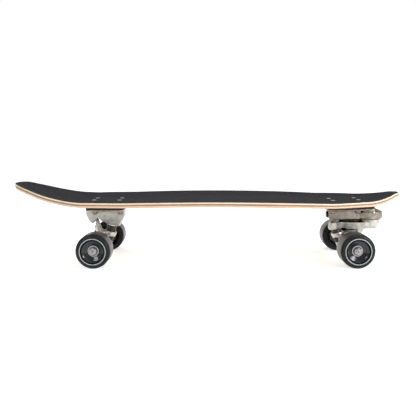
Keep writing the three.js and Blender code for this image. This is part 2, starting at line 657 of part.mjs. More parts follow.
function hangerGeometry(plan) {
  const half = HANGER_WIDTH / 2;
  const finEnd = half - WHEEL_INNER_HALF;
  const stations = [
    [half, HANGER_END_RADIUS, 0],
    [finEnd, HANGER_END_RADIUS, 0],
    [finEnd / 2, (HANGER_END_RADIUS + HANGER_MID_RADIUS) / 2, HANGER_FIN / 3],
    [RING_RADIUS, HANGER_MID_RADIUS, HANGER_FIN],
  ];
  const across = [
    ...stations.map(([y, radius, fin]) => hangerSection(plan, -y, radius, fin)),
    ...stations.toReversed().map(([y, radius, fin]) => hangerSection(plan, y, radius, fin)),
  ];
  const ringBody = aimed(turned([
    [0, -RING_HEIGHT], [RING_FOOT_RADIUS, -RING_HEIGHT], [RING_RADIUS, -RING_LIP],
    [RING_RADIUS, 0], [0, 0],
  ], ROUND_FACETS), plan.ringTop, kingpinUp);

  const nose = new THREE.SphereGeometry(NOSE_RADIUS, SMALL_FACETS, SMALL_FACETS / 2)
    .translate(plan.nose.x, plan.nose.y, plan.nose.z);

  const axleBore = disc(AXLE_RADIUS + SEAT_GAP, -half - OVERRUN, half + OVERRUN, SMALL_FACETS)
    .rotateX(Math.PI / 2).translate(plan.axle.x, 0, plan.axle.z);
  const kingpinBore = aimed(
    disc(RING_BORE_RADIUS, -RING_HEIGHT - OVERRUN, OVERRUN, SMALL_FACETS), plan.ringTop, kingpinUp,
  );
  const bushingRoom = aimed(
    disc(RING_RADIUS + RUNNING_GAP, 0, plan.seatRise + OVERRUN), plan.ringTop, kingpinUp,
  );
  const arm = join(hornGeometry(plan), webGeometry(plan));
  const body = join(loft(across), ringBody, cut(arm, bushingRoom), nose);
  return cut(body, kingpinRoom(plan), kingpinBore, axleBore);
}

// Axle rod with its speed washers and the spacers between each wheel's bearings
function axleGeometry() {
  const end = AXLE_LENGTH / 2;
  const washerStart = HANGER_WIDTH / 2 + SEAT_GAP;
  const spacerHalf = BEARING_SPACING / 2 - SEAT_GAP;
  const halfProfile = [
    [AXLE_RADIUS, washerStart],
    [AXLE_WASHER_RADIUS, washerStart],
    [AXLE_WASHER_RADIUS, washerStart + AXLE_WASHER_THICKNESS],
    [AXLE_RADIUS, washerStart + AXLE_WASHER_THICKNESS],
    [AXLE_RADIUS, WHEEL_CENTRE_Y - spacerHalf],
    [AXLE_SPACER_RADIUS, WHEEL_CENTRE_Y - spacerHalf],
    [AXLE_SPACER_RADIUS, WHEEL_CENTRE_Y + spacerHalf],
    [AXLE_RADIUS, WHEEL_CENTRE_Y + spacerHalf],
    [AXLE_RADIUS, end - AXLE_CHAMFER],
    [AXLE_RADIUS - AXLE_CHAMFER, end],
    [0, end],
  ];
  const mirrored = halfProfile.toReversed().map(([radius, along]) => [radius, -along]);
  return turned([...mirrored, ...halfProfile], SMALL_FACETS).rotateX(Math.PI / 2);
}

function axleNutGeometry() {
  const start = WHEEL_CENTRE_Y + BEARING_SPACING / 2 + BEARING_WIDTH + SEAT_GAP;
  const nutStart = start + AXLE_WASHER_THICKNESS;
  const body = join(
    disc(AXLE_WASHER_RADIUS + SEAT_GAP, start, nutStart, SMALL_FACETS),
    hexagon(AXLE_NUT_FLATS, nutStart, nutStart + AXLE_NUT_HEIGHT),
  );
  const nutEnd = nutStart + AXLE_NUT_HEIGHT;
  return cut(body, disc(AXLE_RADIUS + SEAT_GAP, start - OVERRUN, nutEnd + OVERRUN, SMALL_FACETS));
}

// Points of a quarter of an ellipse about [radius, height], from its top round to its side
function roundedCorner(radius, height, wide, tall) {
  return Array.from({ length: PROFILE_STEPS + 1 }, (_, i) => {
    const angle = (Math.PI / 2) * (1 - i / PROFILE_STEPS);
    return [radius + wide * Math.cos(angle), height + tall * Math.sin(angle)];
  });
}

// Wheel body, turned about its axle with its outer face up: round shoulders and a hollow dish
function wheelGeometry() {
  const outer = WHEEL_OUTER_HALF;
  const inner = -WHEEL_INNER_HALF;
  const bore = CORE_RADIUS + SEAT_GAP;
  const shoulder = WHEEL_SHOULDER;
  const lip = WHEEL_LIP_RADIUS;
  return turned([
    ...roundedCorner(bore, outer, lip - bore, -WHEEL_DISH_DEPTH).slice(0, -1),
    ...roundedCorner(lip, outer - shoulder, WHEEL_RADIUS - lip, shoulder),
    ...roundedCorner(lip, inner + shoulder, WHEEL_RADIUS - lip, -shoulder).toReversed(),
    [bore, -CORE_HALF_WIDTH],
    [bore, outer - WHEEL_DISH_DEPTH],
  ], WHEEL_FACETS, Math.PI / WHEEL_FACETS);
}

function coreGeometry() {
  const seat = BEARING_RADIUS + SEAT_GAP;
  const ledge = BEARING_SPACING / 2 - SEAT_GAP;
  const half = CORE_HALF_WIDTH;
  return turned([
    [CORE_WEB_RADIUS, -ledge], [seat, -ledge], [seat, -half], [CORE_RADIUS, -half],
    [CORE_RADIUS, half], [seat, half], [seat, ledge], [CORE_WEB_RADIUS, ledge],
    [CORE_WEB_RADIUS, -ledge],
  ], ROUND_FACETS);
}

function bearingGeometry(low, outward) {
  const inner = BEARING_BORE_RADIUS;
  const outer = BEARING_RADIUS;
  const face = outward ? low + BEARING_WIDTH : low;
  const back = outward ? low : low + BEARING_WIDTH;
  const shield = outward ? face - BEARING_SHIELD_SET : face + BEARING_SHIELD_SET;
  return turned([
    [inner, back], [outer, back], [outer, face], [outer - BEARING_RING, face],
    [outer - BEARING_RING, shield], [inner + BEARING_RING, shield], [inner + BEARING_RING, face],
    [inner, face], [inner, back],
  ], SMALL_FACETS);
}

// One wheel with its core, bearings and axle nut, on the side of the board given by its sign
function addWheel(group, name, axle, side) {
  const wheel = new THREE.Group();
  wheel.position.copy(axle);
  wheel.rotation.set(side > 0 ? -Math.PI / 2 : Math.PI / 2, 0, 0);
  group.add(wheel);
  const hub = new THREE.Group();
  hub.position.set(0, 0, WHEEL_CENTRE_Y);
  wheel.add(hub);
  add(hub, `${name}_wheel`, wheelGeometry(), URETHANE);
  add(hub, `${name}_core`, coreGeometry(), CORE_PLASTIC);
  const bearingLow = BEARING_SPACING / 2;
  add(hub, `${name}_outer_bearing`, bearingGeometry(bearingLow, true), STEEL);
  add(hub, `${name}_inner_bearing`, bearingGeometry(-bearingLow - BEARING_WIDTH, false), STEEL);
  add(wheel, `${name}_axle_nut`, axleNutGeometry(), STEEL);
}

// Plastic cup that holds the hanger's nose, opening along +Z around the origin
function pivotCup() {
  const pocket = NOSE_RADIUS + SEAT_GAP;
  const profile = [
    [0, -CUP_BACK], [CUP_RADIUS, -CUP_BACK], [CUP_RADIUS, CUP_MOUTH], [pocket, CUP_MOUTH],
  ];
  const steps = SMALL_FACETS / 4;
  for (let i = 0; i <= steps; i += 1) {
    const angle = (Math.PI / 2) * (1 - i / steps);
    profile.push([pocket * Math.sin(angle), -pocket * Math.cos(angle)]);
  }
  return turned(profile, SMALL_FACETS);
}

const cupSeatCutter = () =>
  disc(CUP_RADIUS + SEAT_GAP, -CUP_BACK - SEAT_GAP, CUP_BACK + CUP_MOUTH, SMALL_FACETS);

function addTruckCommon(group, name, plan, headRise, rightSide) {
  addKingpinParts(group, name, plan, headRise);
  add(group, `${name}_hanger`, hangerGeometry(plan), CAST_ALLOY);
  const axle = add(group, `${name}_axle`, axleGeometry(), STEEL);
  axle.position.copy(plan.axle);
  addWheel(group, `${name}_right`, plan.axle, rightSide);
  addWheel(group, `${name}_left`, plan.axle, -rightSide);
}

// Rear baseplate: a bolted flange over a body with the kingpin's seat and the nose's cup
function addRearTruck() {
  const group = framedGroup(rearFrame);
  const padBack = REAR_PAD_HALF_LENGTH - REAR_PAD_SHIFT;
  const padFront = REAR_PAD_HALF_LENGTH + REAR_PAD_SHIFT;
  addRiser(group, 'rear_riser_pad', padBack, padFront, REAR_RISER_THICKNESS);

  const seat = rearPlan.ringTop.clone().addScaledVector(kingpinUp, rearPlan.seatRise);
  const cupDirection = cupOpening(rearPlan);
  const mouth = rearPlan.nose.clone().addScaledVector(cupDirection, CUP_MOUTH);
  const alongSeat = new THREE.Vector3(Math.cos(KINGPIN_TILT), 0, Math.sin(KINGPIN_TILT));
  const alongMouth = new THREE.Vector3(-cupDirection.z, 0, cupDirection.x);
  const onSeat = (distance) => seat.clone().addScaledVector(alongSeat, distance);
  const onMouth = (distance) => mouth.clone().addScaledVector(alongMouth, distance);
  const corner = (point) => [point.x, point.z];
  const lobe = REAR_BODY_BACK - PLATE_CORNER;
  const notch = onMouth(-CUP_RADIUS - WASHER_THICKNESS / 2);
  const seatEnd = onSeat(UPPER_WASHER_RADIUS - BOSS_WALL);
  const profile = [
    [-REAR_BODY_FRONT, 0],
    [-REAR_BODY_FRONT, -REAR_NOSE_DROP + PLATE_CORNER],
    corner(onSeat(-UPPER_WASHER_RADIUS - 2 * BOSS_WALL)),
    corner(onSeat(-UPPER_WASHER_RADIUS)),
    corner(seatEnd),
    [seatEnd.x + PLATE_CORNER, notch.z - PLATE_CORNER],
    [notch.x - PLATE_CORNER, notch.z - PLATE_CORNER],
    corner(notch),
    corner(onMouth(CUP_RADIUS + BOSS_WALL)),
    [lobe, -REAR_NOSE_DROP - CUP_MOUTH],
    [REAR_BODY_BACK, -REAR_NOSE_DROP / 2],
    [REAR_BODY_BACK - BOSS_WALL / 2, 0],
  ];
  const flangePlan = roundedPlate(padBack, padFront, PAD_HALF_WIDTH, PLATE_CORNER);
  const flange = upright(flangePlan, -FLANGE_THICKNESS, 0, CORNER_FACETS);
  const body = sideways(profile, BODY_HALF_WIDTH);
  const cupSeat = aimed(cupSeatCutter(), rearPlan.nose, cupDirection);
  const headRise = rearPlan.seatRise + 2 * KINGPIN_HEAD_HEIGHT;
  const shankHole = disc(KINGPIN_RADIUS + SEAT_GAP, 0, headRise + OVERRUN, SMALL_FACETS);
  const headHole = disc(hexCorner(KINGPIN_HEAD_FLATS) + SEAT_GAP, headRise - SEAT_GAP, 2 * headRise);
  const plate = cut(
    join(flange, body), cupSeat, aimed(shankHole, rearPlan.ringTop, kingpinUp),
    aimed(headHole, rearPlan.ringTop, kingpinUp), ...plateHoles(),
  );
  add(group, 'rear_baseplate', plate, CAST_ALLOY);
  add(group, 'rear_pivot_cup', aimed(pivotCup(), rearPlan.nose, cupDirection), CUP_PLASTIC);
  addTruckCommon(group, 'rear', rearPlan, headRise, 1);
  addDeckScrews(group, 'rear_deck_screw', rearStack);
}

// Height under the top of the front base at which its parts meet
const BASE_BOTTOM = -BASE_DEPTH;
const ARM_HEAD_TOP = BASE_BOTTOM - RUNNING_GAP;
const HUB_TOP = -SWING_BOLT_HEAD_HEIGHT - SWING_ROOF - 2 * SEAT_GAP;
const FOOT_BEARING_TOP = -ARM_HEAD_BOTTOM + SWING_NUT_HEIGHT + SWING_BEARING_HEIGHT + 2 * SEAT_GAP;

const atPivot = (geometry) => geometry.translate(SWING_PIVOT_OUT, 0, 0);
const inTunnel = (geometry) => geometry.rotateY(Math.PI / 2).translate(0, 0, -TUNNEL_DROP);

// Plan shape of a bar with round ends of two sizes, from its wide end at the swing pivot
function taperedPlan(farOut, farRadius, nearRadius) {
  const lean = Math.asin((nearRadius - farRadius) / (SWING_PIVOT_OUT - farOut));
  const shape = new THREE.Shape();
  shape.absarc(SWING_PIVOT_OUT, 0, nearRadius, -Math.PI / 2 - lean, Math.PI / 2 + lean);
  shape.absarc(farOut, 0, farRadius, Math.PI / 2 + lean, (3 * Math.PI) / 2 - lean);
  return shape;
}

// Base: a bolted flange and a spring tunnel that end in the round head over the swing pivot
function frontBaseGeometry() {
  const flangeBack = FRONT_PAD_BACK - FLANGE_THICKNESS / 2;
  const flangePlan = roundedPlate(flangeBack, FRONT_PAD_FRONT, PAD_HALF_WIDTH, PLATE_CORNER);
  const flange = upright(flangePlan, -FLANGE_THICKNESS, 0, CORNER_FACETS);
  const slope = PLATE_CORNER / 2;
  const body = sideways([
    [-BASE_BACK, 0], [SWING_PIVOT_OUT, 0], [SWING_PIVOT_OUT, BASE_BOTTOM],
    [-BASE_BACK + slope, BASE_BOTTOM], [-BASE_BACK, BASE_BOTTOM + slope],
  ], BODY_HALF_WIDTH);
  const edge = FLANGE_THICKNESS / 2;
  const collar = SWING_BOLT_HEAD_RADIUS + edge;
  const head = atPivot(turned([
    [0, BASE_BOTTOM], [SWING_HEAD_RADIUS - edge, BASE_BOTTOM], [SWING_HEAD_RADIUS, BASE_BOTTOM + edge],
    [SWING_HEAD_RADIUS, -SWING_HEAD_SLOPE], [collar + edge, -edge], [collar, 0], [0, 0],
  ], ROUND_FACETS));
  const hubRoom = SWING_HUB_RADIUS + RUNNING_GAP;
  const cavity = atPivot(turned([
    [0, BASE_BOTTOM - OVERRUN], [SWING_BEARING_RADIUS + SEAT_GAP, BASE_BOTTOM - OVERRUN],
    [SWING_BEARING_RADIUS + SEAT_GAP, BASE_BOTTOM + SWING_BEARING_HEIGHT + SEAT_GAP],
    [hubRoom, BASE_BOTTOM + SWING_BEARING_HEIGHT + SEAT_GAP], [hubRoom, HUB_TOP + SEAT_GAP],
    [SWING_BOLT_RADIUS + SEAT_GAP, HUB_TOP + SEAT_GAP],
    [SWING_BOLT_RADIUS + SEAT_GAP, -SWING_BOLT_HEAD_HEIGHT - SEAT_GAP],
    [SWING_BOLT_HEAD_RADIUS + SEAT_GAP, -SWING_BOLT_HEAD_HEIGHT - SEAT_GAP],
    [SWING_BOLT_HEAD_RADIUS + SEAT_GAP, OVERRUN], [0, OVERRUN],
  ], ROUND_FACETS));
  const tunnelEnd = SWING_PIVOT_OUT - SWING_HUB_WAIST_RADIUS;
  const tunnel = inTunnel(disc(TUNNEL_RADIUS, -BASE_BACK - OVERRUN, tunnelEnd, SMALL_FACETS));
  return cut(join(flange, body, head), cavity, tunnel, ...plateHoles());
}

// Swing arm: a side profile trimmed to its plan, with bosses for the kingpin, the cup and the hub
function swingArmGeometry() {
  const seat = frontPlan.ringTop.clone()
    .addScaledVector(kingpinUp, frontPlan.seatRise - FRONT_BUSHING_RECESS);
  const kingpinOut = seat.x;
  const inEnd = kingpinOut - ARM_KINGPIN_RADIUS;
  const top = -ARM_BODY_DROP;
  const step = PLATE_CORNER;
  const seatTilt = Math.tan(KINGPIN_TILT);
  const seatEnd = kingpinOut + ARM_KINGPIN_RADIUS;
  const shoulder = SWING_PIVOT_OUT - ARM_HEAD_WAIST_RADIUS;
  const profile = [
    [inEnd - ARM_DIP, top - step - ARM_DIP], [inEnd + ARM_DIP, top - ARM_DIP], [inEnd + 2 * step, top],
    [kingpinOut + 2 * ARM_KINGPIN_RADIUS, top - ARM_DIP / 2], [shoulder, top - ARM_DIP],
    [SWING_PIVOT_OUT, ARM_HEAD_TOP - ARM_DIP], [SWING_PIVOT_OUT, -ARM_HEAD_BOTTOM + ARM_DIP],
    [FRONT_NOSE_OUT, -ARM_HEAD_BOTTOM], [seatEnd + step, -ARM_HEAD_BOTTOM + ARM_DIP],
    [seatEnd, seat.z + seatTilt * (seatEnd - kingpinOut)],
    [inEnd, seat.z - seatTilt * ARM_KINGPIN_RADIUS],
  ];
  const barPlan = taperedPlan(kingpinOut, ARM_KINGPIN_RADIUS + ARM_DIP, ARM_HEAD_WAIST_RADIUS);
  const plan = upright(barPlan, -ARM_HEAD_BOTTOM - OVERRUN, OVERRUN, BAR_FACETS);
  const bar = common(sideways(profile, SWING_HEAD_RADIUS), plan);
  const head = atPivot(turned([
    [0, ARM_HEAD_TOP], [ARM_HEAD_RADIUS, ARM_HEAD_TOP],
    [ARM_HEAD_WAIST_RADIUS, (ARM_HEAD_TOP - ARM_HEAD_BOTTOM) / 2],
    [ARM_FOOT_RADIUS, -ARM_HEAD_BOTTOM], [0, -ARM_HEAD_BOTTOM],
  ], ROUND_FACETS));
  const cupDirection = cupOpening(frontPlan);
  const bossBack = -CUP_BACK - FLANGE_THICKNESS;
  const boss = aimed(turned([
    [0, bossBack], [ARM_BOSS_RADIUS - FLANGE_THICKNESS / 2, bossBack],
    [ARM_BOSS_RADIUS, -CUP_BACK], [ARM_BOSS_RADIUS, CUP_MOUTH], [0, CUP_MOUTH],
  ], SMALL_FACETS), frontPlan.nose, cupDirection);
  const waistLow = -TUNNEL_DROP - PLUNGER_TIP_RADIUS - RUNNING_GAP;
  const waistHigh = -TUNNEL_DROP + PLUNGER_TIP_RADIUS + RUNNING_GAP;
  const hub = atPivot(turned([
    [0, ARM_HEAD_TOP - OVERRUN], [SWING_HUB_RADIUS, ARM_HEAD_TOP - OVERRUN],
    [SWING_HUB_RADIUS, waistLow], [SWING_HUB_WAIST_RADIUS, waistLow],
    [SWING_HUB_WAIST_RADIUS, waistHigh], [SWING_HUB_RADIUS, waistHigh],
    [SWING_HUB_RADIUS, HUB_TOP], [0, HUB_TOP],
  ], ROUND_FACETS));
  const boltRoom = SWING_BOLT_RADIUS + SEAT_GAP;
  const footRoom = SWING_FOOT_BEARING_RADIUS + SEAT_GAP;
  const boltBore = atPivot(turned([
    [0, OVERRUN], [boltRoom, OVERRUN], [boltRoom, FOOT_BEARING_TOP + SEAT_GAP],
    [footRoom, FOOT_BEARING_TOP + SEAT_GAP], [footRoom, -ARM_HEAD_BOTTOM - OVERRUN],
    [0, -ARM_HEAD_BOTTOM - OVERRUN],
  ], ROUND_FACETS));
  const headRise = frontPlan.seatRise + ARM_KINGPIN_FLOOR;
  const headRoom = hexCorner(KINGPIN_HEAD_FLATS) + SEAT_GAP;
  const kingpinBore = aimed(turned([
    [0, 0], [KINGPIN_RADIUS + SEAT_GAP, 0], [KINGPIN_RADIUS + SEAT_GAP, headRise - SEAT_GAP],
    [headRoom, headRise - SEAT_GAP], [headRoom, 2 * headRise], [0, 2 * headRise],
  ], SMALL_FACETS), frontPlan.ringTop, kingpinUp);
  const bushingSeat = aimed(
    disc(UPPER_WASHER_RADIUS + SEAT_GAP, 0, frontPlan.seatRise, SMALL_FACETS), frontPlan.ringTop, kingpinUp,
  );
  const cupSeat = aimed(cupSeatCutter(), frontPlan.nose, cupDirection);
  return cut(join(bar, head, boss, hub), boltBore, kingpinBore, bushingSeat, cupSeat);
}

// Return spring: one wire wound along the tunnel, each turn clear of the next
function springGeometry(low, high) {
  const radius = TUNNEL_RADIUS - SEAT_GAP - SPRING_WIRE / 2 - RUNNING_GAP;
  const climb = (high - low - SPRING_WIRE) / SPRING_TURNS;
  const gap = climb - SPRING_WIRE;
  console.log(`least gap between the spring's turns: ${gap.toFixed(2)} mm`);
  const rings = [];
  for (let i = 0; i <= SPRING_TURNS * SPRING_STEPS; i += 1) {
    const angle = (2 * Math.PI * i) / SPRING_STEPS;
    const height = low + SPRING_WIRE / 2 + (climb * i) / SPRING_STEPS;
    const outward = new THREE.Vector3(Math.cos(angle), Math.sin(angle), 0);
    const upward = new THREE.Vector3(0, 0, 1);
    const centre = outward.clone().multiplyScalar(radius).setZ(height);
    rings.push(Array.from({ length: SPRING_SIDES }, (_, j) => {
      const round = (2 * Math.PI * j) / SPRING_SIDES;
      return centre.clone()
        .addScaledVector(outward, (SPRING_WIRE / 2) * Math.cos(round))
        .addScaledVector(upward, (SPRING_WIRE / 2) * Math.sin(round));
    }));
  }
  return loft(rings);
}

function addSwingParts(group) {
  const bolt = join(
    disc(SWING_BOLT_HEAD_RADIUS, -SWING_BOLT_HEAD_HEIGHT, -SEAT_GAP, SMALL_FACETS),
    disc(SWING_BOLT_RADIUS, -ARM_HEAD_BOTTOM, -2 * SEAT_GAP, SMALL_FACETS),
  );
  add(group, 'swing_pivot_bolt', atPivot(bolt), STEEL);
  const bore = SWING_BOLT_RADIUS + SEAT_GAP;
  const upperTop = BASE_BOTTOM + SWING_BEARING_HEIGHT;
  const upper = ring(SWING_BEARING_RADIUS, SWING_HUB_RADIUS + RUNNING_GAP, BASE_BOTTOM, upperTop);
  add(group, 'swing_upper_bearing', atPivot(upper), BRONZE);
  const footLow = FOOT_BEARING_TOP - SWING_BEARING_HEIGHT;
  const lower = ring(SWING_FOOT_BEARING_RADIUS, bore, footLow, FOOT_BEARING_TOP);
  add(group, 'swing_lower_bearing', atPivot(lower), STEEL);
  const nutTop = footLow - SEAT_GAP;
  const nut = cut(
    hexagon(SWING_NUT_FLATS, nutTop - SWING_NUT_HEIGHT, nutTop),
    disc(bore, nutTop - SWING_NUT_HEIGHT - OVERRUN, nutTop + OVERRUN, SMALL_FACETS),
  );
  add(group, 'swing_pivot_nut', atPivot(nut), STEEL);

  const hubSide = SWING_PIVOT_OUT - SWING_HUB_WAIST_RADIUS - SEAT_GAP;
  const plungerFront = SWING_PIVOT_OUT - SWING_BEARING_RADIUS - RUNNING_GAP;
  const plungerBack = plungerFront - PLUNGER_LENGTH;
  const plungerRadius = TUNNEL_RADIUS - SEAT_GAP;
  const plunger = turned([
    [0, plungerBack], [plungerRadius, plungerBack], [plungerRadius, plungerFront - PLUNGER_TIP_RADIUS],
    [PLUNGER_TIP_RADIUS, plungerFront], [PLUNGER_TIP_RADIUS, hubSide - PLUNGER_TIP_RADIUS / 3],
    [PLUNGER_TIP_RADIUS / 2, hubSide], [0, hubSide],
  ], SMALL_FACETS);
  add(group, 'spring_plunger', inTunnel(plunger), STEEL);
  const adjusterBack = -BASE_BACK - SEAT_GAP;
  const adjusterFront = -BASE_BACK + ADJUSTER_BODY;
  const adjuster = join(
    hexagon(ADJUSTER_FLATS, adjusterBack - ADJUSTER_HEAD, adjusterBack),
    disc(plungerRadius, adjusterBack - SEAT_GAP, adjusterFront, SMALL_FACETS),
  );
  add(group, 'spring_adjuster', inTunnel(adjuster), BLACK_STEEL);
  const spring = springGeometry(adjusterFront + SEAT_GAP, plungerBack - SEAT_GAP);
  add(group, 'return_spring', inTunnel(spring), STEEL);
}

function addFrontTruck() {
  const group = framedGroup(frontFrame);
  addRiser(group, 'front_riser_pad', FRONT_PAD_BACK, FRONT_PAD_FRONT, FRONT_RISER_THICKNESS);
  add(group, 'front_baseplate', frontBaseGeometry(), CAST_ALLOY);
  add(group, 'swing_arm', swingArmGeometry(), CAST_ALLOY);
  addSwingParts(group);
  const cup = aimed(pivotCup(), frontPlan.nose, cupOpening(frontPlan));
  add(group, 'front_pivot_cup', cup, CUP_PLASTIC);
  addTruckCommon(group, 'front', frontPlan, frontPlan.seatRise + ARM_KINGPIN_FLOOR, -1);
  addDeckScrews(group, 'front_deck_screw', frontStack);
}

buildDeck();
addRearTruck();
addFrontTruck();

export default board;
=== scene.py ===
"""Looks of the surf skateboard, in metres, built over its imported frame."""

import json
import math

import bmesh
import bpy
from mathutils import Matrix, Vector


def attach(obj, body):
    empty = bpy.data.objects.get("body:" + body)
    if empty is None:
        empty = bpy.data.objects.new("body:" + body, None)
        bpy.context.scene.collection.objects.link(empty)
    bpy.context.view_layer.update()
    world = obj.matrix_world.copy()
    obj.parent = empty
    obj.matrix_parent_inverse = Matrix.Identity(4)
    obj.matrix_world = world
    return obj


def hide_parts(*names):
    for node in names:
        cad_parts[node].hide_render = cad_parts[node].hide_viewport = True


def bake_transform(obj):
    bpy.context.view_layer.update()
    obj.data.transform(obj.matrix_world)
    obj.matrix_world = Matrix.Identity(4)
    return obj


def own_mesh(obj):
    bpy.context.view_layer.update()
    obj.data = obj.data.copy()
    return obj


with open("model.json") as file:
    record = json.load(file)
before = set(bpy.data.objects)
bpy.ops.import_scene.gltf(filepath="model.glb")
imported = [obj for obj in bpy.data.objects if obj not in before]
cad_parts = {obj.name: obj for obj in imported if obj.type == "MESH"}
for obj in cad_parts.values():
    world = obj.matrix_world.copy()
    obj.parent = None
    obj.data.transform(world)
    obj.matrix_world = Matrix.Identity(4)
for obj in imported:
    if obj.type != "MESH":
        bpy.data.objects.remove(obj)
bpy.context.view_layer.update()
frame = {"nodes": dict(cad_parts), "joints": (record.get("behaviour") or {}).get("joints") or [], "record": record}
MM = 0.001

# Deck and grip, in the sizes of the solids
SEAT_GAP = 0.3 * MM
EDGE = 0.3 * MM
DECK_LENGTH = 825.5 * MM
DECK_WIDTH = 250.8 * MM
DECK_THICKNESS = 9.6 * MM
CONCAVE_DEPTH = 5 * MM
FLAT_HALF_WIDTH = 34 * MM
TAIL_RISE = 36 * MM
NOSE_RISE = 12.5 * MM
CROWN_RISE = 3.3 * MM
GRIP_THICKNESS = 1 * MM
# Share of the deck's length, and the share of its half width there
OUTLINE_SHARES = [
    (0, 0), (0.0065, 0.175), (0.0145, 0.295), (0.045, 0.465), (0.1, 0.662), (0.145, 0.76),
    (0.185, 0.86), (0.24, 0.92), (0.32, 0.957), (0.43, 0.995), (0.56, 1), (0.68, 0.99),
    (0.755, 0.948), (0.825, 0.868), (0.89, 0.718), (0.925, 0.57), (0.96, 0.355), (0.985, 0.175),
    (1, 0),
]
# Share of the way from a truck's flat to the deck's end, and the share of the rise there
TAIL_CURVE_SHARES = [
    (-1, 0), (-0.05, 0), (0.15, 0.065), (0.28, 0.16), (0.47, 0.356), (0.79, 0.786), (0.92, 0.96),
    (1, 1),
]
NOSE_CURVE_SHARES = [
    (-1, 0), (-0.1, 0), (0.17, 0.12), (0.37, 0.285), (0.57, 0.51), (0.83, 0.9), (1, 1),
]
# Share of the deck's length, and the share of the concave's depth there
CONCAVE_SHARES = [
    (0, 0.1), (0.1, 0.5), (0.18, 0.9), (0.25, 1), (0.7, 1), (0.86, 0.82), (0.93, 0.5), (1, 0.1),
]

# Rounded rails and tips of the deck, and cut edge of the grip
RAIL_ROUND = 2.2 * MM
TIP_LENGTH = 16 * MM
TIP_DRAW = 2.1 * MM
TIP_CREST_SHARE = 0.35
GRIP_INSET = 0.6 * MM
GRIP_END_GAP = 1.5 * MM
DECK_STATIONS = 150
DECK_LANES = 26
# Share of the round that the rail draws in, share of the thickness down, and the finish below
RAIL_SHARES = [
    (0.35, 0.0, 0), (0.12, 0.05, 0), (0.0, 0.13, 0), (0.0, 0.29, 1), (0.0, 0.45, 1), (0.0, 0.62, 2),
    (0.04, 0.76, 2), (0.2, 0.88, 2), (0.55, 0.97, 2), (1.0, 1.0, 2),
]
GRIP_RAIL_SHARES = [(0.0, 0.0, 0), (0.0, 1.0, 0)]
UNDERSIDE_FINISH = 3

# Places of the trucks
WHEEL_RADIUS = 35 * MM
WHEEL_FACETS_IN_SOLID = 30
BOLT_ROW_SPACING = 53.98 * MM
BOLT_SIDE_SPACING = 41.28 * MM
WHEELBASE = 454.1 * MM
TAIL_OVERHANG = 225.95 * MM
MOUNT_FLAT_HALF = 43 * MM
FRONT_TILT = math.radians(1.6)
AXLE_HEIGHT = WHEEL_RADIUS * math.cos(math.pi / WHEEL_FACETS_IN_SOLID)
REAR_TRUCK_HEIGHT = 72.2 * MM
FRONT_TRUCK_HEIGHT = 73.6 * MM
REAR_RISER_THICKNESS = 9.2 * MM
FRONT_RISER_THICKNESS = 7.6 * MM
REAR_MOUNT_X = TAIL_OVERHANG - DECK_LENGTH / 2 - BOLT_ROW_SPACING / 2
FRONT_MOUNT_X = REAR_MOUNT_X + BOLT_ROW_SPACING + WHEELBASE
REAR_MOUNT = Vector((REAR_MOUNT_X, 0, AXLE_HEIGHT + REAR_TRUCK_HEIGHT))
FRONT_MOUNT = Vector((FRONT_MOUNT_X, 0, AXLE_HEIGHT + FRONT_TRUCK_HEIGHT))
REAR_STACK = REAR_RISER_THICKNESS + 2 * SEAT_GAP
FRONT_STACK = FRONT_RISER_THICKNESS + 2 * SEAT_GAP
REAR_DECK_TOP = REAR_MOUNT.z + REAR_STACK + DECK_THICKNESS
FRONT_DECK_TOP = FRONT_MOUNT.z + FRONT_STACK + DECK_THICKNESS
REAR_FRAME = Matrix.Translation(REAR_MOUNT) @ Matrix.Rotation(math.pi, 4, "Z")
FRONT_FRAME = Matrix.Translation(FRONT_MOUNT) @ Matrix.Rotation(-FRONT_TILT, 4, "Y")

# Wheels, bearings and axles
WHEEL_OUTER_HALF = 23 * MM
WHEEL_INNER_HALF = 29 * MM
WHEEL_LIP_RADIUS = 26.6 * MM
WHEEL_SHOULDER = 8 * MM
WHEEL_DISH_DEPTH = 8.5 * MM
WHEEL_BACK_STEP = 3 * MM
LIP_WIDTH = 1.7 * MM
# Share of the way from the core to the lip, and the share of the dish's depth there
DISH_SHARES = [
    (0, 1), (0.2, 0.91), (0.4, 0.8), (0.55, 0.68), (0.68, 0.54), (0.78, 0.4), (0.87, 0.25),
    (0.94, 0.12), (1, 0),
]
CORE_RADIUS = 17 * MM
CORE_HALF_WIDTH = 13.3 * MM
CORE_WEB_RADIUS = 9.5 * MM
BEARING_RADIUS = 11 * MM
BEARING_WIDTH = 7 * MM
BEARING_SPACING = 10 * MM
BEARING_RING = 1.6 * MM
AXLE_RADIUS = 4 * MM
AXLE_LENGTH = 240 * MM
AXLE_SPACER_RADIUS = 5.2 * MM
AXLE_WASHER_RADIUS = 6 * MM
AXLE_WASHER_THICKNESS = 1 * MM
AXLE_NUT_FLATS = 12.7 * MM
AXLE_NUT_HEIGHT = 6 * MM
THREAD_PITCH = 1.2 * MM
THREAD_TURNS = 7
HANGER_WIDTH = 170 * MM
BEARING_FACE = BEARING_SPACING / 2 + BEARING_WIDTH
WHEEL_CENTRE = HANGER_WIDTH / 2 + AXLE_WASHER_THICKNESS + 2 * SEAT_GAP + BEARING_FACE

# Deck screws and their nuts
FLANGE_THICKNESS = 3.6 * MM
SCREW_RADIUS = 2.4 * MM
SCREW_HEAD_RADIUS = 4.7 * MM
SCREW_HEAD_HEIGHT = 2.6 * MM
SCREW_TAIL = 1.5 * MM
LOCK_NUT_FLATS = 9.5 * MM
LOCK_NUT_HEIGHT = 5.5 * MM
LOCK_COLLAR_HEIGHT = 1.7 * MM

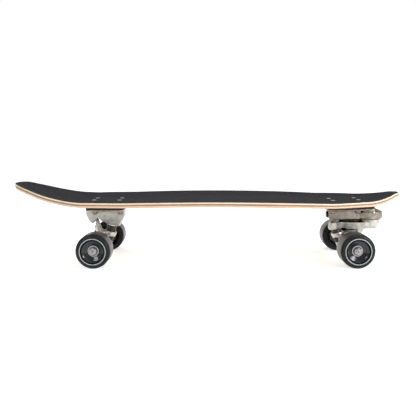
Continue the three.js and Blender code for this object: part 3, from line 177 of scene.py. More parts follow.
# Steps round a full turn, and how finely the meshes are made
SCREW_STEPS = 32
NUT_STEPS = 48
AXLE_STEPS = 48
BEARING_STEPS = 72
CORE_STEPS = 96
TYRE_STEPS = 120
TYRE_CORNER_STEPS = 8
HEXAGON_FACE_SHARE = 0.96
TURN_UV_LENGTH = 10 * MM
LATHE_MERGE_REACH = MM / 1000
SHEET_MERGE_REACH = MM / 50

# Angles between faces, in degrees, above which an edge is sharp
CREASE_ANGLE = 32
BEVEL_CREASE_ANGLE = 40
SOFT_CREASE_ANGLE = 50

# Fineness of the smoothed castings and bushings
CAST_VOXEL = 0.8 * MM
CAST_ROUNDS = 12
BUSHING_VOXEL = 0.5 * MM
BUSHING_ROUNDS = 16
SMOOTH_FACTOR = 0.5
BEVEL_SEGMENTS = 3

# The swing arm's stiffening land, in the front truck's own frame
LAND_START = -12 * MM
LAND_END = 44 * MM
LAND_HALF_WIDTH = 6 * MM
LAND_TOP = -25.1 * MM
LAND_BOTTOM = -32 * MM

# The shoulder that joins the front base's round head to its flange, in the same frame
SHOULDER_MIDDLE = 56 * MM
SHOULDER_RADIUS = 26.6 * MM
SHOULDER_INNER_RADIUS = 19 * MM
SHOULDER_END = 61.6 * MM
SHOULDER_TOP = -1.8 * MM
SHOULDER_BOTTOM = -10 * MM
SHOULDER_STEPS = 24

# Rounding of the return coil's edges
COIL_EDGE = 0.1 * MM

# The camera, found from the deck's ends and the wheels' bearings in the photograph
PHOTO_PIXELS = 416
FOCAL_PIXELS = 591.65
SENSOR_WIDTH = 36
CAMERA_PLACE = Vector((1.1, -1272.4, 262.9)) * MM
CAMERA_DOWN = 0.121
CLIP_START = 10 * MM

# Stage, in metres
FLOOR_CORNERS = [(-6, -6), (6, -6), (6, 6), (-6, 6)]
FLOOR_DROP = MM / 10
FLOOR_COLOUR = (0.9, 0.9, 0.9, 1)
WHITE = (1, 1, 1, 1)
FLOOR_GLOW = 0.62
SKY_LIGHT = 0.5
ROOM_LIGHT = 0.48
# Towards the bright side of the room; the dim side lies behind the camera and to its left
BRIGHT_SIDE = (0.7, 0.71, 0)
# How far a direction faces the bright side where the room's light starts and stops rising
DIM_TO_BRIGHT = (-0.75, 0.1)
# Name, place, aim, width and height of each lamp, and its power in watts
LAMPS = [
    ("key", (-1.0, -1.3, 0.95), (0, 0, 0.08), (0.65, 0.5), 8),
    ("top", (0.1, 0.2, 1.6), (0, 0, 0.1), (1.6, 0.9), 15),
    ("side", (1.3, -0.95, 0.75), (0, 0, 0.08), (0.65, 0.5), 15),
]


# Bodies


def object_from(bm, name):
    """A new object holding the bmesh, smooth but for its creases."""
    mesh = bpy.data.meshes.new(name)
    bm.normal_update()
    bm.to_mesh(mesh)
    bm.free()
    crease(mesh, CREASE_ANGLE)
    return object_of(mesh, name)


def object_of(data, name):
    """A new object in the scene for a mesh, a lamp or a camera."""
    holder = bpy.data.objects.new(name, data)
    bpy.context.scene.collection.objects.link(holder)
    return holder


def crease(mesh, degrees):
    """Smooth shading with sharp edges where faces meet at more than the angle."""
    bm = bmesh.new()
    bm.from_mesh(mesh)
    for face in bm.faces:
        face.smooth = True
    for edge in bm.edges:
        edge.smooth = len(edge.link_faces) == 2 and edge.calc_face_angle(0) < math.radians(degrees)
    bm.to_mesh(mesh)
    bm.free()


def baked(piece, degrees):
    """Applies the piece's modifiers to its mesh."""
    depsgraph = bpy.context.evaluated_depsgraph_get()
    mesh = bpy.data.meshes.new_from_object(piece.evaluated_get(depsgraph))
    piece.modifiers.clear()
    piece.data = mesh
    crease(mesh, degrees)
    return piece


def dress(piece, *materials):
    """Adds materials to a piece, in the order of its slots."""
    for material in materials:
        piece.data.materials.append(material)
    return piece


def lathe(name, profile, place, steps, loop=True):
    """A body turned about its own Z from (radius, height) pairs, with a UV of turn and path."""
    bm = bmesh.new()
    layer = bm.loops.layers.uv.new("turn")
    rings = []
    for i in range(steps):
        angle = 2 * math.pi * i / steps
        rings.append([bm.verts.new((r * math.cos(angle), r * math.sin(angle), z)) for r, z in profile])
    paths = [0]
    for (r0, z0), (r1, z1) in zip(profile, profile[1:] + profile[:1]):
        paths.append(paths[-1] + math.hypot(r1 - r0, z1 - z0))
    count = len(profile)
    for i in range(steps):
        near = rings[i]
        far = rings[(i + 1) % steps]
        for j in range(count if loop else count - 1):
            k = (j + 1) % count
            if profile[j][0] == 0 and profile[k][0] == 0:
                continue
            face = bm.faces.new((near[j], far[j], far[k], near[k]))
            turns = (i / steps, (i + 1) / steps, (i + 1) / steps, i / steps)
            reaches = (paths[j], paths[j], paths[j + 1], paths[j + 1])
            for corner, turn, reach in zip(face.loops, turns, reaches):
                corner[layer].uv = (turn, reach / TURN_UV_LENGTH)
    bmesh.ops.remove_doubles(bm, verts=bm.verts, dist=LATHE_MERGE_REACH)
    bmesh.ops.recalc_face_normals(bm, faces=bm.faces)
    bm.transform(place)
    return object_from(bm, name)


def along(direction, base):
    """The matrix that stands a body built on Z at a base point, along a direction."""
    turn = Vector((0, 0, 1)).rotation_difference(direction).to_matrix().to_4x4()
    return Matrix.Translation(base) @ turn


def hexagon_nut(name, flats, low, high, hole, place):
    """A hexagon with a round hole, its corners turned off at both ends."""
    corner = flats / 2 / math.cos(math.pi / 6)
    face = flats / 2 * HEXAGON_FACE_SHARE
    turned = 2 * EDGE
    levels = [(low, face), (low + turned, corner), (high - turned, corner), (high, face)]
    angles = [2 * math.pi * i / NUT_STEPS for i in range(NUT_STEPS)]
    bm = bmesh.new()
    rings = []
    for height, reach in levels:
        ring = []
        for angle in angles:
            sector = (angle + math.pi / 6) % (math.pi / 3) - math.pi / 6
            radius = min(flats / 2 / math.cos(sector), reach)
            ring.append(bm.verts.new((radius * math.cos(angle), radius * math.sin(angle), height)))
        rings.append(ring)
    for height in (high, low):
        rings.append([bm.verts.new((hole * math.cos(a), hole * math.sin(a), height)) for a in angles])
    for near, far in zip(rings, rings[1:] + rings[:1]):
        for i in range(NUT_STEPS):
            j = (i + 1) % NUT_STEPS
            bm.faces.new((near[i], near[j], far[j], far[i]))
    bmesh.ops.recalc_face_normals(bm, faces=bm.faces)
    bm.transform(place)
    return object_from(bm, name)


def joined(name, *pieces):
    """One object from several, keeping their materials."""
    bm = bmesh.new()
    slots = []
    for piece in pieces:
        first = len(slots)
        slots.extend(piece.data.materials or [None])
        before = len(bm.faces)
        bm.from_mesh(piece.data)
        bm.faces.ensure_lookup_table()
        for face in bm.faces[before:]:
            face.material_index += first
        bpy.data.objects.remove(piece)
    mesh = bpy.data.meshes.new(name)
    bm.to_mesh(mesh)
    bm.free()
    return dress(object_of(mesh, name), *slots)


def stands_for(piece, node, body):
    """The piece replaces its node and rides on its body."""
    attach(piece, body)
    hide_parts(node)


def body_of(node):
    """The name of the body that a node belongs to."""
    for name, members in frame["record"]["behaviour"]["bodies"].items():
        if node in members:
            return name
    raise ValueError(node)


# Materials

# Noise cells to the metre, and how a noise is squeezed along each axis
VENEER_CELLS = 900
VENEER_CELLS_ALONG = 6
VENEER_SQUEEZE = (VENEER_CELLS_ALONG / VENEER_CELLS, 1, 1)
STREAK_SQUEEZE = (0.08, 1, 1)
METAL_SQUEEZE = (1, 1, 6)
SCRATCH_SQUEEZE = (3, 26, 1)
# The values between which nearly all of a noise lies
NOISE_RANGE = (0.3, 0.7)
# How near another surface lies where a casting is darkened with painted shade, and the colour of that painted
# shade
PAINTED_SHADE_REACH = 7 * MM
PAINTED_SHADE_COLOUR = (0.1, 0.095, 0.085)
# Numbers of the Mix node's sockets that carry colours
MIX_FIRST = 6
MIX_SECOND = 7
MIX_RESULT = 2


def spread(tree, value, source, target, smooth=False):
    """Carries a number from one range over to another."""
    node = tree.nodes.new("ShaderNodeMapRange")
    if smooth:
        node.interpolation_type = "SMOOTHSTEP"
    for name, number in zip(("From Min", "From Max", "To Min", "To Max"), (*source, *target)):
        node.inputs[name].default_value = number
    tree.links.new(value, node.inputs["Value"])
    return node.outputs["Result"]


class Nodes:
    """A material's node tree with short calls to add and join nodes."""

    def __init__(self, name):
        self.material = bpy.data.materials.new(name)
        self.material.use_nodes = True
        self.tree = self.material.node_tree
        self.shader = self.tree.nodes["Principled BSDF"]

    def add(self, kind, **settings):
        """A new node with its sockets and settings filled in by name."""
        node = self.tree.nodes.new(kind)
        for key, value in settings.items():
            name = key.replace("_", " ")
            if name in node.inputs:
                node.inputs[name].default_value = value
            else:
                setattr(node, key, value)
        return node

    def link(self, source, target):
        """Joins an output to an input."""
        self.tree.links.new(source, target)

    def constants(self, **inputs):
        """Fills in the shader's own sockets by name."""
        for key, value in inputs.items():
            self.shader.inputs[key.replace("_", " ")].default_value = value

    def noise(self, scale, detail, squeeze=None, space="Object"):
        """Noise over the object's own coordinates or its UV, squeezed along the axes if asked."""
        place = self.add("ShaderNodeTexCoord")
        noise = self.add("ShaderNodeTexNoise", Scale=scale, Detail=detail)
        source = place.outputs[space]
        if squeeze is not None:
            mapping = self.add("ShaderNodeMapping", Scale=squeeze)
            self.link(source, mapping.inputs["Vector"])
            source = mapping.outputs["Vector"]
        self.link(source, noise.inputs["Vector"])
        return noise.outputs["Fac"]

    def ramp(self, factor, *stops):
        """A colour ramp through (position, colour) stops."""
        ramp = self.add("ShaderNodeValToRGB")
        elements = ramp.color_ramp.elements
        while len(elements) < len(stops):
            elements.new(0.5)
        for element, (position, colour) in zip(elements, stops):
            element.position = position
            element.color = (*colour, 1)
        self.link(factor, ramp.inputs["Fac"])
        return ramp.outputs["Color"]

    def multiplied(self, first, second, share):
        """One colour multiplied by another, by a share from 0 to 1."""
        mix = self.add("ShaderNodeMix", data_type="RGBA", blend_type="MULTIPLY")
        mix.inputs["Factor"].default_value = share
        self.link(first, mix.inputs[MIX_FIRST])
        self.link(second, mix.inputs[MIX_SECOND])
        return mix.outputs[MIX_RESULT]

    def ranged(self, noise, low, high):
        """A number that follows a noise from low to high."""
        return spread(self.tree, noise, NOISE_RANGE, (low, high))

    def bump(self, height, distance, strength):
        """A normal that follows a height."""
        node = self.add("ShaderNodeBump", Strength=strength, Distance=distance)
        self.link(height, node.inputs["Height"])
        return node.outputs["Normal"]

    def finish(self, colour, roughness, normal):
        """The material, with its shader joined up."""
        self.link(colour, self.shader.inputs["Base Color"])
        self.link(roughness, self.shader.inputs["Roughness"])
        self.link(normal, self.shader.inputs["Normal"])
        return self.material


def grit_material():
    """Charcoal mineral grit: dark grains with lighter facets, in faint streaks along the board."""
    made = Nodes("grit")
    made.constants(Metallic=0.0, IOR=1.2)
    grain = made.noise(scale=1500, detail=2)
    streak = made.noise(scale=60, detail=4, squeeze=STREAK_SQUEEZE)
    grains = made.ramp(
        grain, (0.3, (0.002, 0.002, 0.003)), (0.52, (0.01, 0.01, 0.012)), (0.74, (0.055, 0.055, 0.06)),
    )
    streaks = made.ramp(streak, (0.35, (0.55, 0.55, 0.56)), (0.65, (1, 1, 1)))
    colour = made.multiplied(grains, streaks, share=0.8)
    rough = made.ranged(grain, low=0.75, high=0.95)
    return made.finish(colour, rough, made.bump(grain, distance=0.5 * MM, strength=0.8))


def veneer_material(name, light, dark):
    """One dyed or natural veneer, its grain drawn out along the board."""
    made = Nodes(name)
    made.constants(Metallic=0.0, IOR=1.5)
    made.constants(Coat_Weight=0.25, Coat_Roughness=0.2)
    grain = made.noise(VENEER_CELLS, detail=5, squeeze=VENEER_SQUEEZE)
    colour = made.ramp(grain, (0.32, dark), (0.68, light))
    rough = made.ranged(grain, low=0.38, high=0.55)
    return made.finish(colour, rough, made.bump(grain, distance=0.08 * MM, strength=0.4))


def cast_material(name, light, dark):
    """Tumbled aluminium casting: orange-peel skin, darker patches, and painted shade where surfaces meet."""
    made = Nodes(name)
    made.constants(Metallic=1.0)
    patch = made.noise(scale=120, detail=6)
    skin = made.noise(scale=700, detail=3)
    tone = made.ramp(patch, (0.35, dark), (0.65, light))
    # Painted shade: the colour is darkened where other surfaces lie near, in recesses and between parts
    near = made.add("ShaderNodeAmbientOcclusion", samples=8, Distance=PAINTED_SHADE_REACH)
    painted_shade = made.ramp(near.outputs["AO"], (0.25, PAINTED_SHADE_COLOUR), (0.85, (1, 1, 1)))
    colour = made.multiplied(tone, painted_shade, share=1)
    rough = made.ranged(patch, low=0.3, high=0.46)
    return made.finish(colour, rough, made.bump(skin, distance=0.12 * MM, strength=0.5))


def metal_material(name, light, dark, low, high, scale=400):
    """Turned or plated metal with fine marks."""
    made = Nodes(name)
    made.constants(Metallic=1.0)
    marks = made.noise(scale, detail=4, squeeze=METAL_SQUEEZE)
    colour = made.ramp(marks, (0.3, dark), (0.7, light))
    rough = made.ranged(marks, low, high)
    return made.finish(colour, rough, made.bump(marks, distance=0.03 * MM, strength=0.3))


def moulded_material(name, light, dark, low, high):
    """Rubber, nylon or cast urethane with a faint mottle."""
    made = Nodes(name)
    made.constants(Metallic=0.0, IOR=1.5)
    mottle = made.noise(scale=600, detail=3)
    colour = made.ramp(mottle, (0.35, dark), (0.65, light))
    rough = made.ranged(mottle, low, high)
    return made.finish(colour, rough, made.bump(mottle, distance=0.06 * MM, strength=0.4))


def ground_material(name, light, dark, low, high, ior):
    """Ground urethane: fine scratches that run round the wheel."""
    made = Nodes(name)
    made.constants(Metallic=0.0, IOR=ior)
    lines = made.noise(scale=3, detail=5, squeeze=SCRATCH_SQUEEZE, space="UV")
    colour = made.ramp(lines, (0.35, dark), (0.68, light))
    rough = made.ranged(lines, low, high)
    return made.finish(colour, rough, made.bump(lines, distance=0.1 * MM, strength=0.4))


# After each name come the light and the dark colour, then the least and the greatest roughness
GRIT = grit_material()
VENEERS = [
    veneer_material("veneer_cream", (0.98, 0.8, 0.6), (0.86, 0.67, 0.47)),
    veneer_material("veneer_mauve", (0.36, 0.225, 0.17), (0.26, 0.155, 0.12)),
    veneer_material("veneer_peach", (0.9, 0.65, 0.44), (0.76, 0.51, 0.33)),
]
UNDERSIDE = veneer_material("veneer_underside", (0.8, 0.58, 0.37), (0.66, 0.45, 0.27))
GRIP_EDGE = moulded_material("grip_edge", (0.02, 0.02, 0.021), (0.012, 0.012, 0.013), 0.7, 0.9)
CAST = cast_material("cast_alloy", (0.52, 0.505, 0.465), (0.35, 0.34, 0.31))
# Painted shade: a darker copy of the same alloy, used for the front base
PAINTED_SHADE_CAST = cast_material("cast_alloy_painted_shade", (0.33, 0.3, 0.255), (0.2, 0.182, 0.152))
# Painted light: a lighter copy of the same alloy, used for the swing arm
PAINTED_LIGHT_ARM_CAST = cast_material("cast_alloy_arm_painted_light", (0.6, 0.58, 0.53), (0.34, 0.328, 0.298))
# Painted light: a paler copy of the same alloy, used for both hangers
PAINTED_LIGHT_CAST = cast_material("cast_alloy_painted_light", (0.66, 0.64, 0.585), (0.44, 0.425, 0.385))
AXLE_STEEL = metal_material("axle_steel", (0.42, 0.4, 0.38), (0.27, 0.255, 0.24), 0.3, 0.45)
BROWNED_STEEL = metal_material("browned_steel", (0.3, 0.17, 0.11), (0.18, 0.1, 0.065), 0.4, 0.55)
WHEEL_NUT_STEEL = metal_material("wheel_nut_steel", (0.5, 0.52, 0.5), (0.33, 0.35, 0.34), 0.22, 0.36)
BRIGHT_STEEL = metal_material("bright_steel", (0.6, 0.61, 0.61), (0.42, 0.43, 0.44), 0.2, 0.36)
RACE_STEEL = metal_material("race_steel", (0.55, 0.54, 0.56), (0.42, 0.42, 0.44), 0.3, 0.45)
# Painted shade: the shields are dark grey, standing in for shade in the sunk ring between the races
PAINTED_SHADE_SHIELD_STEEL = metal_material("shield_steel_painted_shade", (0.15, 0.15, 0.16), (0.09, 0.09, 0.1), 0.3, 0.45)
# Painted reflection: the brown tint of the lock nuts stands in for the wooden deck mirrored in them
PAINTED_REFLECTION_NUT_STEEL = metal_material("nut_steel_painted_reflection", (0.36, 0.31, 0.26), (0.2, 0.17, 0.14), 0.35, 0.5, scale=1500)
BLACK_STEEL = metal_material("black_steel", (0.07, 0.07, 0.075), (0.03, 0.03, 0.033), 0.35, 0.5)
SCREW_STEEL = metal_material("screw_steel", (0.42, 0.42, 0.42), (0.28, 0.28, 0.29), 0.35, 0.5)
BRONZE = metal_material("bronze", (0.62, 0.42, 0.2), (0.48, 0.31, 0.14), 0.3, 0.45)
URETHANE = moulded_material("urethane", (0.01, 0.011, 0.013), (0.004, 0.0045, 0.006), 0.11, 0.17)
GROUND = ground_material(
    "ground_shoulder", (0.016, 0.017, 0.019), (0.002, 0.002, 0.003), 0.3, 0.5, ior=1.3,
)
# Painted reflection: the tread's grey is lighter than the shoulders', standing in for the bright room mirrored at
# grazing angles; its ground scratches are real
PAINTED_SHEEN_TREAD = ground_material(
    "ground_tread_painted_sheen", (0.095, 0.093, 0.093), (0.04, 0.039, 0.04), 0.26, 0.4, ior=1.38,
)
LIP_RING = moulded_material("lip_ring", (0.5, 0.57, 0.555), (0.36, 0.42, 0.4), 0.3, 0.45)
CORE = moulded_material("core_plastic", (0.012, 0.013, 0.015), (0.005, 0.006, 0.008), 0.12, 0.18)
RUBBER = moulded_material("riser_rubber", (0.012, 0.012, 0.013), (0.006, 0.006, 0.006), 0.55, 0.75)
BUSHING = moulded_material("bushing", (0.012, 0.012, 0.014), (0.006, 0.006, 0.007), 0.25, 0.4)
CUP = moulded_material("cup_plastic", (0.03, 0.03, 0.033), (0.018, 0.018, 0.02), 0.4, 0.6)


# Deck


def smooth_at(pairs, place):
    """A smooth curve that keeps between its points, through (place, value) pairs."""
    slopes = [(b[1] - a[1]) / (b[0] - a[0]) for a, b in zip(pairs, pairs[1:])]
    tangents = [slopes[0]]
    for before, after in zip(slopes, slopes[1:]):
        tangents.append(2 * before * after / (before + after) if before * after > 0 else 0)
    tangents.append(slopes[-1])
    i = max([k for k in range(len(slopes)) if pairs[k][0] <= place], default=0)
    span = pairs[i + 1][0] - pairs[i][0]
    t = min(1, max(0, (place - pairs[i][0]) / span))
    rest = 1 - t
    return ((1 + 2 * t) * rest * rest * pairs[i][1] + t * rest * rest * span * tangents[i]
            + t * t * (3 - 2 * t) * pairs[i + 1][1] - t * t * rest * span * tangents[i + 1])


def half_width(x):
    """Half of the deck's width at a place along it."""
    squares = [(share, across * across) for share, across in OUTLINE_SHARES]
    return DECK_WIDTH / 2 * math.sqrt(max(0, smooth_at(squares, x / DECK_LENGTH + 0.5)))


def front_line(x):
    """Height of the deck's top over the front truck, where it is flat and tilted."""
    return FRONT_DECK_TOP + math.tan(FRONT_TILT) * (x - FRONT_MOUNT.x)


def centre_height(x):
    """Height of the middle of the deck's top."""
    rear_start = REAR_MOUNT.x - MOUNT_FLAT_HALF
    rear_end = REAR_MOUNT.x + MOUNT_FLAT_HALF
    front_start = FRONT_MOUNT.x - MOUNT_FLAT_HALF
    front_end = FRONT_MOUNT.x + MOUNT_FLAT_HALF
    if x <= rear_end:
        out = (rear_start - x) / (rear_start + DECK_LENGTH / 2)
        return REAR_DECK_TOP + TAIL_RISE * smooth_at(TAIL_CURVE_SHARES, out)
    if x < front_start:
        t = (x - rear_end) / (front_start - rear_end)
        ease = t * t * (3 - 2 * t)
        drop = REAR_DECK_TOP + (front_line(front_start) - REAR_DECK_TOP) * ease
        return drop + CROWN_RISE * math.sin(math.pi * t)
    out = (x - front_end) / (DECK_LENGTH / 2 - front_end)
    return front_line(x) + NOSE_RISE * smooth_at(NOSE_CURVE_SHARES, max(-1, out))


def deck_top(x, y):
    """Height of the deck's top: flat in the middle and curving up to the rails."""
    edge = half_width(x)
    depth = CONCAVE_DEPTH * smooth_at(CONCAVE_SHARES, x / DECK_LENGTH + 0.5)
    flat = min(FLAT_HALF_WIDTH, edge / 2)
    out = max(0, abs(y) - flat) / (edge - flat) if edge > flat else 0
    return centre_height(x) + depth * out * out


def drawn(x, down):
    """The place along the board, drawn in at the tips so that their ends are rounded."""
    near = max(0, 1 - (DECK_LENGTH / 2 - abs(x)) / TIP_LENGTH)
    if down < TIP_CREST_SHARE:
        share = (1 - down / TIP_CREST_SHARE) ** 2 / 2
    else:
        share = ((down - TIP_CREST_SHARE) / (1 - TIP_CREST_SHARE)) ** 2
    return x - math.copysign(TIP_DRAW * share * near * near, x)


def deck_rings(top, bottom, rail, inset, end_gap):
    """Closed sections of a sheet that follows the deck, from its tail to its nose."""
    rings = []
    for i in range(DECK_STATIONS + 1):
        x = -(DECK_LENGTH / 2 - end_gap) * math.cos(math.pi * i / DECK_STATIONS)
        edge = half_width(x)
        slope = math.atan2(centre_height(x + MM) - centre_height(x - MM), 2 * MM)
        stretch = 1 / math.cos(slope)
        draw = min(RAIL_ROUND, edge / 2)
        flat = max(0, edge - draw - inset)
        lanes = [flat * (2 * j / DECK_LANES - 1) for j in range(DECK_LANES + 1)]
        high = [(drawn(x, 0), y, deck_top(x, y) + top * stretch) for y in lanes]
        right = []
        for pull, down, _ in rail:
            height = deck_top(x, edge) + (top + (bottom - top) * down) * stretch
            right.append((drawn(x, down), edge - inset - draw * pull, height))
        low = [(drawn(x, 1), y, deck_top(x, y) + bottom * stretch) for y in reversed(lanes)]
        left = [(px, -py, pz) for px, py, pz in reversed(right)]
        rings.append(high + right + low + left)
    return rings


def sheet_from(rings, name, strip_finish, materials):
    """Skins the sections and gives each strip the finish that its place in the section asks for."""
    bm = bmesh.new()
    rows = [[bm.verts.new(point) for point in ring] for ring in rings]
    count = len(rows[0])
    for near, far in zip(rows, rows[1:]):
        for j in range(count):
            k = (j + 1) % count
            face = bm.faces.new((near[j], near[k], far[k], far[j]))
            face.material_index = strip_finish(j)
    bmesh.ops.remove_doubles(bm, verts=bm.verts, dist=SHEET_MERGE_REACH)
    bmesh.ops.holes_fill(bm, edges=[edge for edge in bm.edges if edge.is_boundary], sides=0)
    bmesh.ops.recalc_face_normals(bm, faces=bm.faces)
    piece = dress(object_from(bm, name), *materials)
    crease(piece.data, SOFT_CREASE_ANGLE)
    return piece


def deck_finish(j):
    """The veneer on a strip of the deck: top, right rail, underside, then left rail."""
    lanes = DECK_LANES + 1
    rail = len(RAIL_SHARES)
    if j < lanes - 1:
        return 0
    if j < lanes + rail:
        return RAIL_SHARES[max(0, j - lanes)][2]
    if j < 2 * lanes + rail - 1:
        return UNDERSIDE_FINISH
    return RAIL_SHARES[max(0, min(rail - 1, 2 * (lanes + rail) - 2 - j))][2]


def build_deck():
    """The laminate, its three veneer bands showing at the rail."""
    rings = deck_rings(0, -DECK_THICKNESS, RAIL_SHARES, 0, 0)
    deck = sheet_from(rings, "deck_laminate", deck_finish, [*VENEERS, UNDERSIDE])
    stands_for(deck, "deck", "board")


def build_grip():
    """The grip sheet, cut just inside the deck's outline."""
    top = SEAT_GAP + GRIP_THICKNESS
    rings = deck_rings(top, SEAT_GAP / 3, GRIP_RAIL_SHARES, GRIP_INSET, GRIP_END_GAP)
    grip = sheet_from(rings, "grip_sheet", lambda j: 0 if j < DECK_LANES else 1, [GRIT, GRIP_EDGE])
    stands_for(grip, "grip_tape", "board")


# Deck screws


def screw_places():
    """Each deck screw's node and frame, and the height of the parts between truck and deck."""
    for name, place, stack in (("rear", REAR_FRAME, REAR_STACK), ("front", FRONT_FRAME, FRONT_STACK)):
        number = 0
        for row in (-1, 1):
            for side in (-1, 1):
                number += 1
                spot = Vector((row * BOLT_ROW_SPACING / 2, side * BOLT_SIDE_SPACING / 2, 0))
                yield f"{name}_deck_screw_{number}", place @ Matrix.Translation(spot), stack


def screw_profile(top, end):
    """Section of a countersunk screw with a dimpled head, from its tip to the middle of its head."""
    dimple = SCREW_RADIUS - 2 * EDGE
    return [
        (0, end), (SCREW_RADIUS - EDGE, end), (SCREW_RADIUS, end + EDGE),
        (SCREW_RADIUS, top - SCREW_HEAD_HEIGHT), (SCREW_HEAD_RADIUS - EDGE / 2, top - EDGE),
        (SCREW_HEAD_RADIUS, top - EDGE / 2), (SCREW_HEAD_RADIUS - EDGE, top), (dimple, top),
        (dimple - EDGE, top - 2 * EDGE), (0, top - 3 * EDGE),
    ]


def build_screws():
    """Countersunk screws and their lock nuts, each with a dark collar."""
    nut_top = -FLANGE_THICKNESS - SEAT_GAP
    nut_low = nut_top - LOCK_NUT_HEIGHT
    collar_top = nut_low + LOCK_COLLAR_HEIGHT
    reach = LOCK_NUT_FLATS / 2 - EDGE
    collar_profile = [
        (SCREW_RADIUS, nut_low), (reach - EDGE, nut_low), (reach, nut_low + EDGE), (reach, collar_top),
        (SCREW_RADIUS, collar_top),
    ]
    for node, place, stack in screw_places():
        top = stack + DECK_THICKNESS + SEAT_GAP + GRIP_THICKNESS + EDGE
        profile = screw_profile(top, nut_low - SCREW_TAIL)
        screw = lathe(f"{node}_body", profile, place, SCREW_STEPS, loop=False)
        dress(screw, SCREW_STEEL)
        low = collar_top - EDGE
        nut = hexagon_nut(f"{node}_nut", LOCK_NUT_FLATS, low, nut_top, SCREW_RADIUS, place)
        dress(nut, PAINTED_REFLECTION_NUT_STEEL)
        collar = lathe(f"{node}_collar", collar_profile, place, SCREW_STEPS)
        dress(collar, BLACK_STEEL)
        whole = joined(f"{node}_set", screw, nut, collar)
        stands_for(whole, node, "board")


# Wheels, measured from the wheel's middle with its outer face up

# Which of a body's materials covers a strip
DISH_FINISH, LIP_FINISH, SHOULDER_FINISH, TREAD_FINISH = range(4)
RACE_FINISH, SHIELD_FINISH = range(2)
PLAIN_FINISH, DIMPLE_FINISH = range(2)
DIMPLE_STRIPS = 2


def section_of(*strips):
    """One section from (points, finish) strips, and the finish that starts at each of its points."""
    points = [point for pairs, _ in strips for point in pairs]
    finishes = [finish for pairs, finish in strips for _ in pairs]
    return points, finishes


def finish_strips(piece, finishes):
    """Gives each strip of a lathed body its own material slot."""
    count = len(finishes)
    for i, face in enumerate(piece.data.polygons):
        face.material_index = finishes[i % count]


def tyre_profile(radius):
    """The tyre's section and its finishes: dish, raised lip, ground shoulders and tread."""
    bore = CORE_RADIUS + SEAT_GAP
    rim = WHEEL_LIP_RADIUS - LIP_WIDTH
    outer = WHEEL_OUTER_HALF
    inner = -WHEEL_INNER_HALF
    corner = radius - WHEEL_LIP_RADIUS
    sunk = 3 * EDGE
    crest = outer - 2 * EDGE
    fall = WHEEL_SHOULDER - 2 * EDGE
    quarter = [math.pi / 2 * i / TYRE_CORNER_STEPS for i in range(TYRE_CORNER_STEPS + 1)]
    dish = [
        (bore + (rim - bore) * way, outer - sunk - (WHEEL_DISH_DEPTH - sunk) * depth)
        for way, depth in DISH_SHARES
    ]
    lip = [
        (rim + EDGE / 2, outer - EDGE), (rim + 2 * EDGE, outer), (WHEEL_LIP_RADIUS - EDGE, outer),
        (WHEEL_LIP_RADIUS, outer - EDGE),
    ]
    upper = [
        (WHEEL_LIP_RADIUS + corner * math.sin(angle), crest - fall * (1 - math.cos(angle)))
        for angle in quarter
    ]
    lower = [
        (WHEEL_LIP_RADIUS + corner * math.cos(angle), inner + WHEEL_SHOULDER * (1 - math.sin(angle)))
        for angle in quarter
    ]
    back = [
        (rim, inner + EDGE),
        (CORE_RADIUS + WHEEL_DISH_DEPTH / 4, -CORE_HALF_WIDTH - WHEEL_BACK_STEP),
        (bore, -CORE_HALF_WIDTH),
    ]
    return section_of(
        (dish, DISH_FINISH), (lip, LIP_FINISH), (upper[:-1], SHOULDER_FINISH),
        (upper[-1:], TREAD_FINISH), (lower, SHOULDER_FINISH), (back, DISH_FINISH),
    )


def core_profile():
    """Section of the core: its outer face is a shallow cone from the dish down to the bearing."""
    seat = BEARING_RADIUS + EDGE
    ledge = BEARING_SPACING / 2 - EDGE
    half = CORE_HALF_WIDTH
    crest = WHEEL_OUTER_HALF - WHEEL_DISH_DEPTH - EDGE / 2
    return [
        (CORE_WEB_RADIUS, -ledge), (seat, -ledge), (seat, -half + EDGE), (seat + EDGE, -half),
        (CORE_RADIUS - EDGE, -half), (CORE_RADIUS, -half + EDGE), (CORE_RADIUS, crest - EDGE),
        (CORE_RADIUS - EDGE, crest),
        ((seat + CORE_RADIUS) / 2, (crest + BEARING_FACE) / 2 - EDGE / 2),
        (seat + 2 * EDGE, BEARING_FACE + EDGE / 2), (seat + EDGE, BEARING_FACE),
        (seat, BEARING_FACE - EDGE), (seat, ledge), (CORE_WEB_RADIUS, ledge),
    ]


def bearing_profile():
    """Section of a shielded bearing and its finishes."""
    bore = AXLE_RADIUS + SEAT_GAP
    low = BEARING_SPACING / 2
    face = BEARING_FACE
    sunk = face - 2 * EDGE
    race = BEARING_RADIUS - BEARING_RING
    hub = bore + BEARING_RING
    outer_ring = [
        (bore, low), (BEARING_RADIUS - EDGE, low), (BEARING_RADIUS, low + EDGE),
        (BEARING_RADIUS, face - EDGE), (BEARING_RADIUS - EDGE, face), (race + EDGE, face),
    ]
    shield = [
        (race, sunk + EDGE), (race - EDGE, sunk), (hub + 2 * EDGE, sunk), (hub + EDGE, sunk + EDGE / 2),
    ]
    inner_ring = [(hub, face - EDGE), (hub - EDGE, face), (bore + EDGE, face), (bore, face - EDGE)]
    return section_of((outer_ring, RACE_FINISH), (shield, SHIELD_FINISH), (inner_ring, RACE_FINISH))


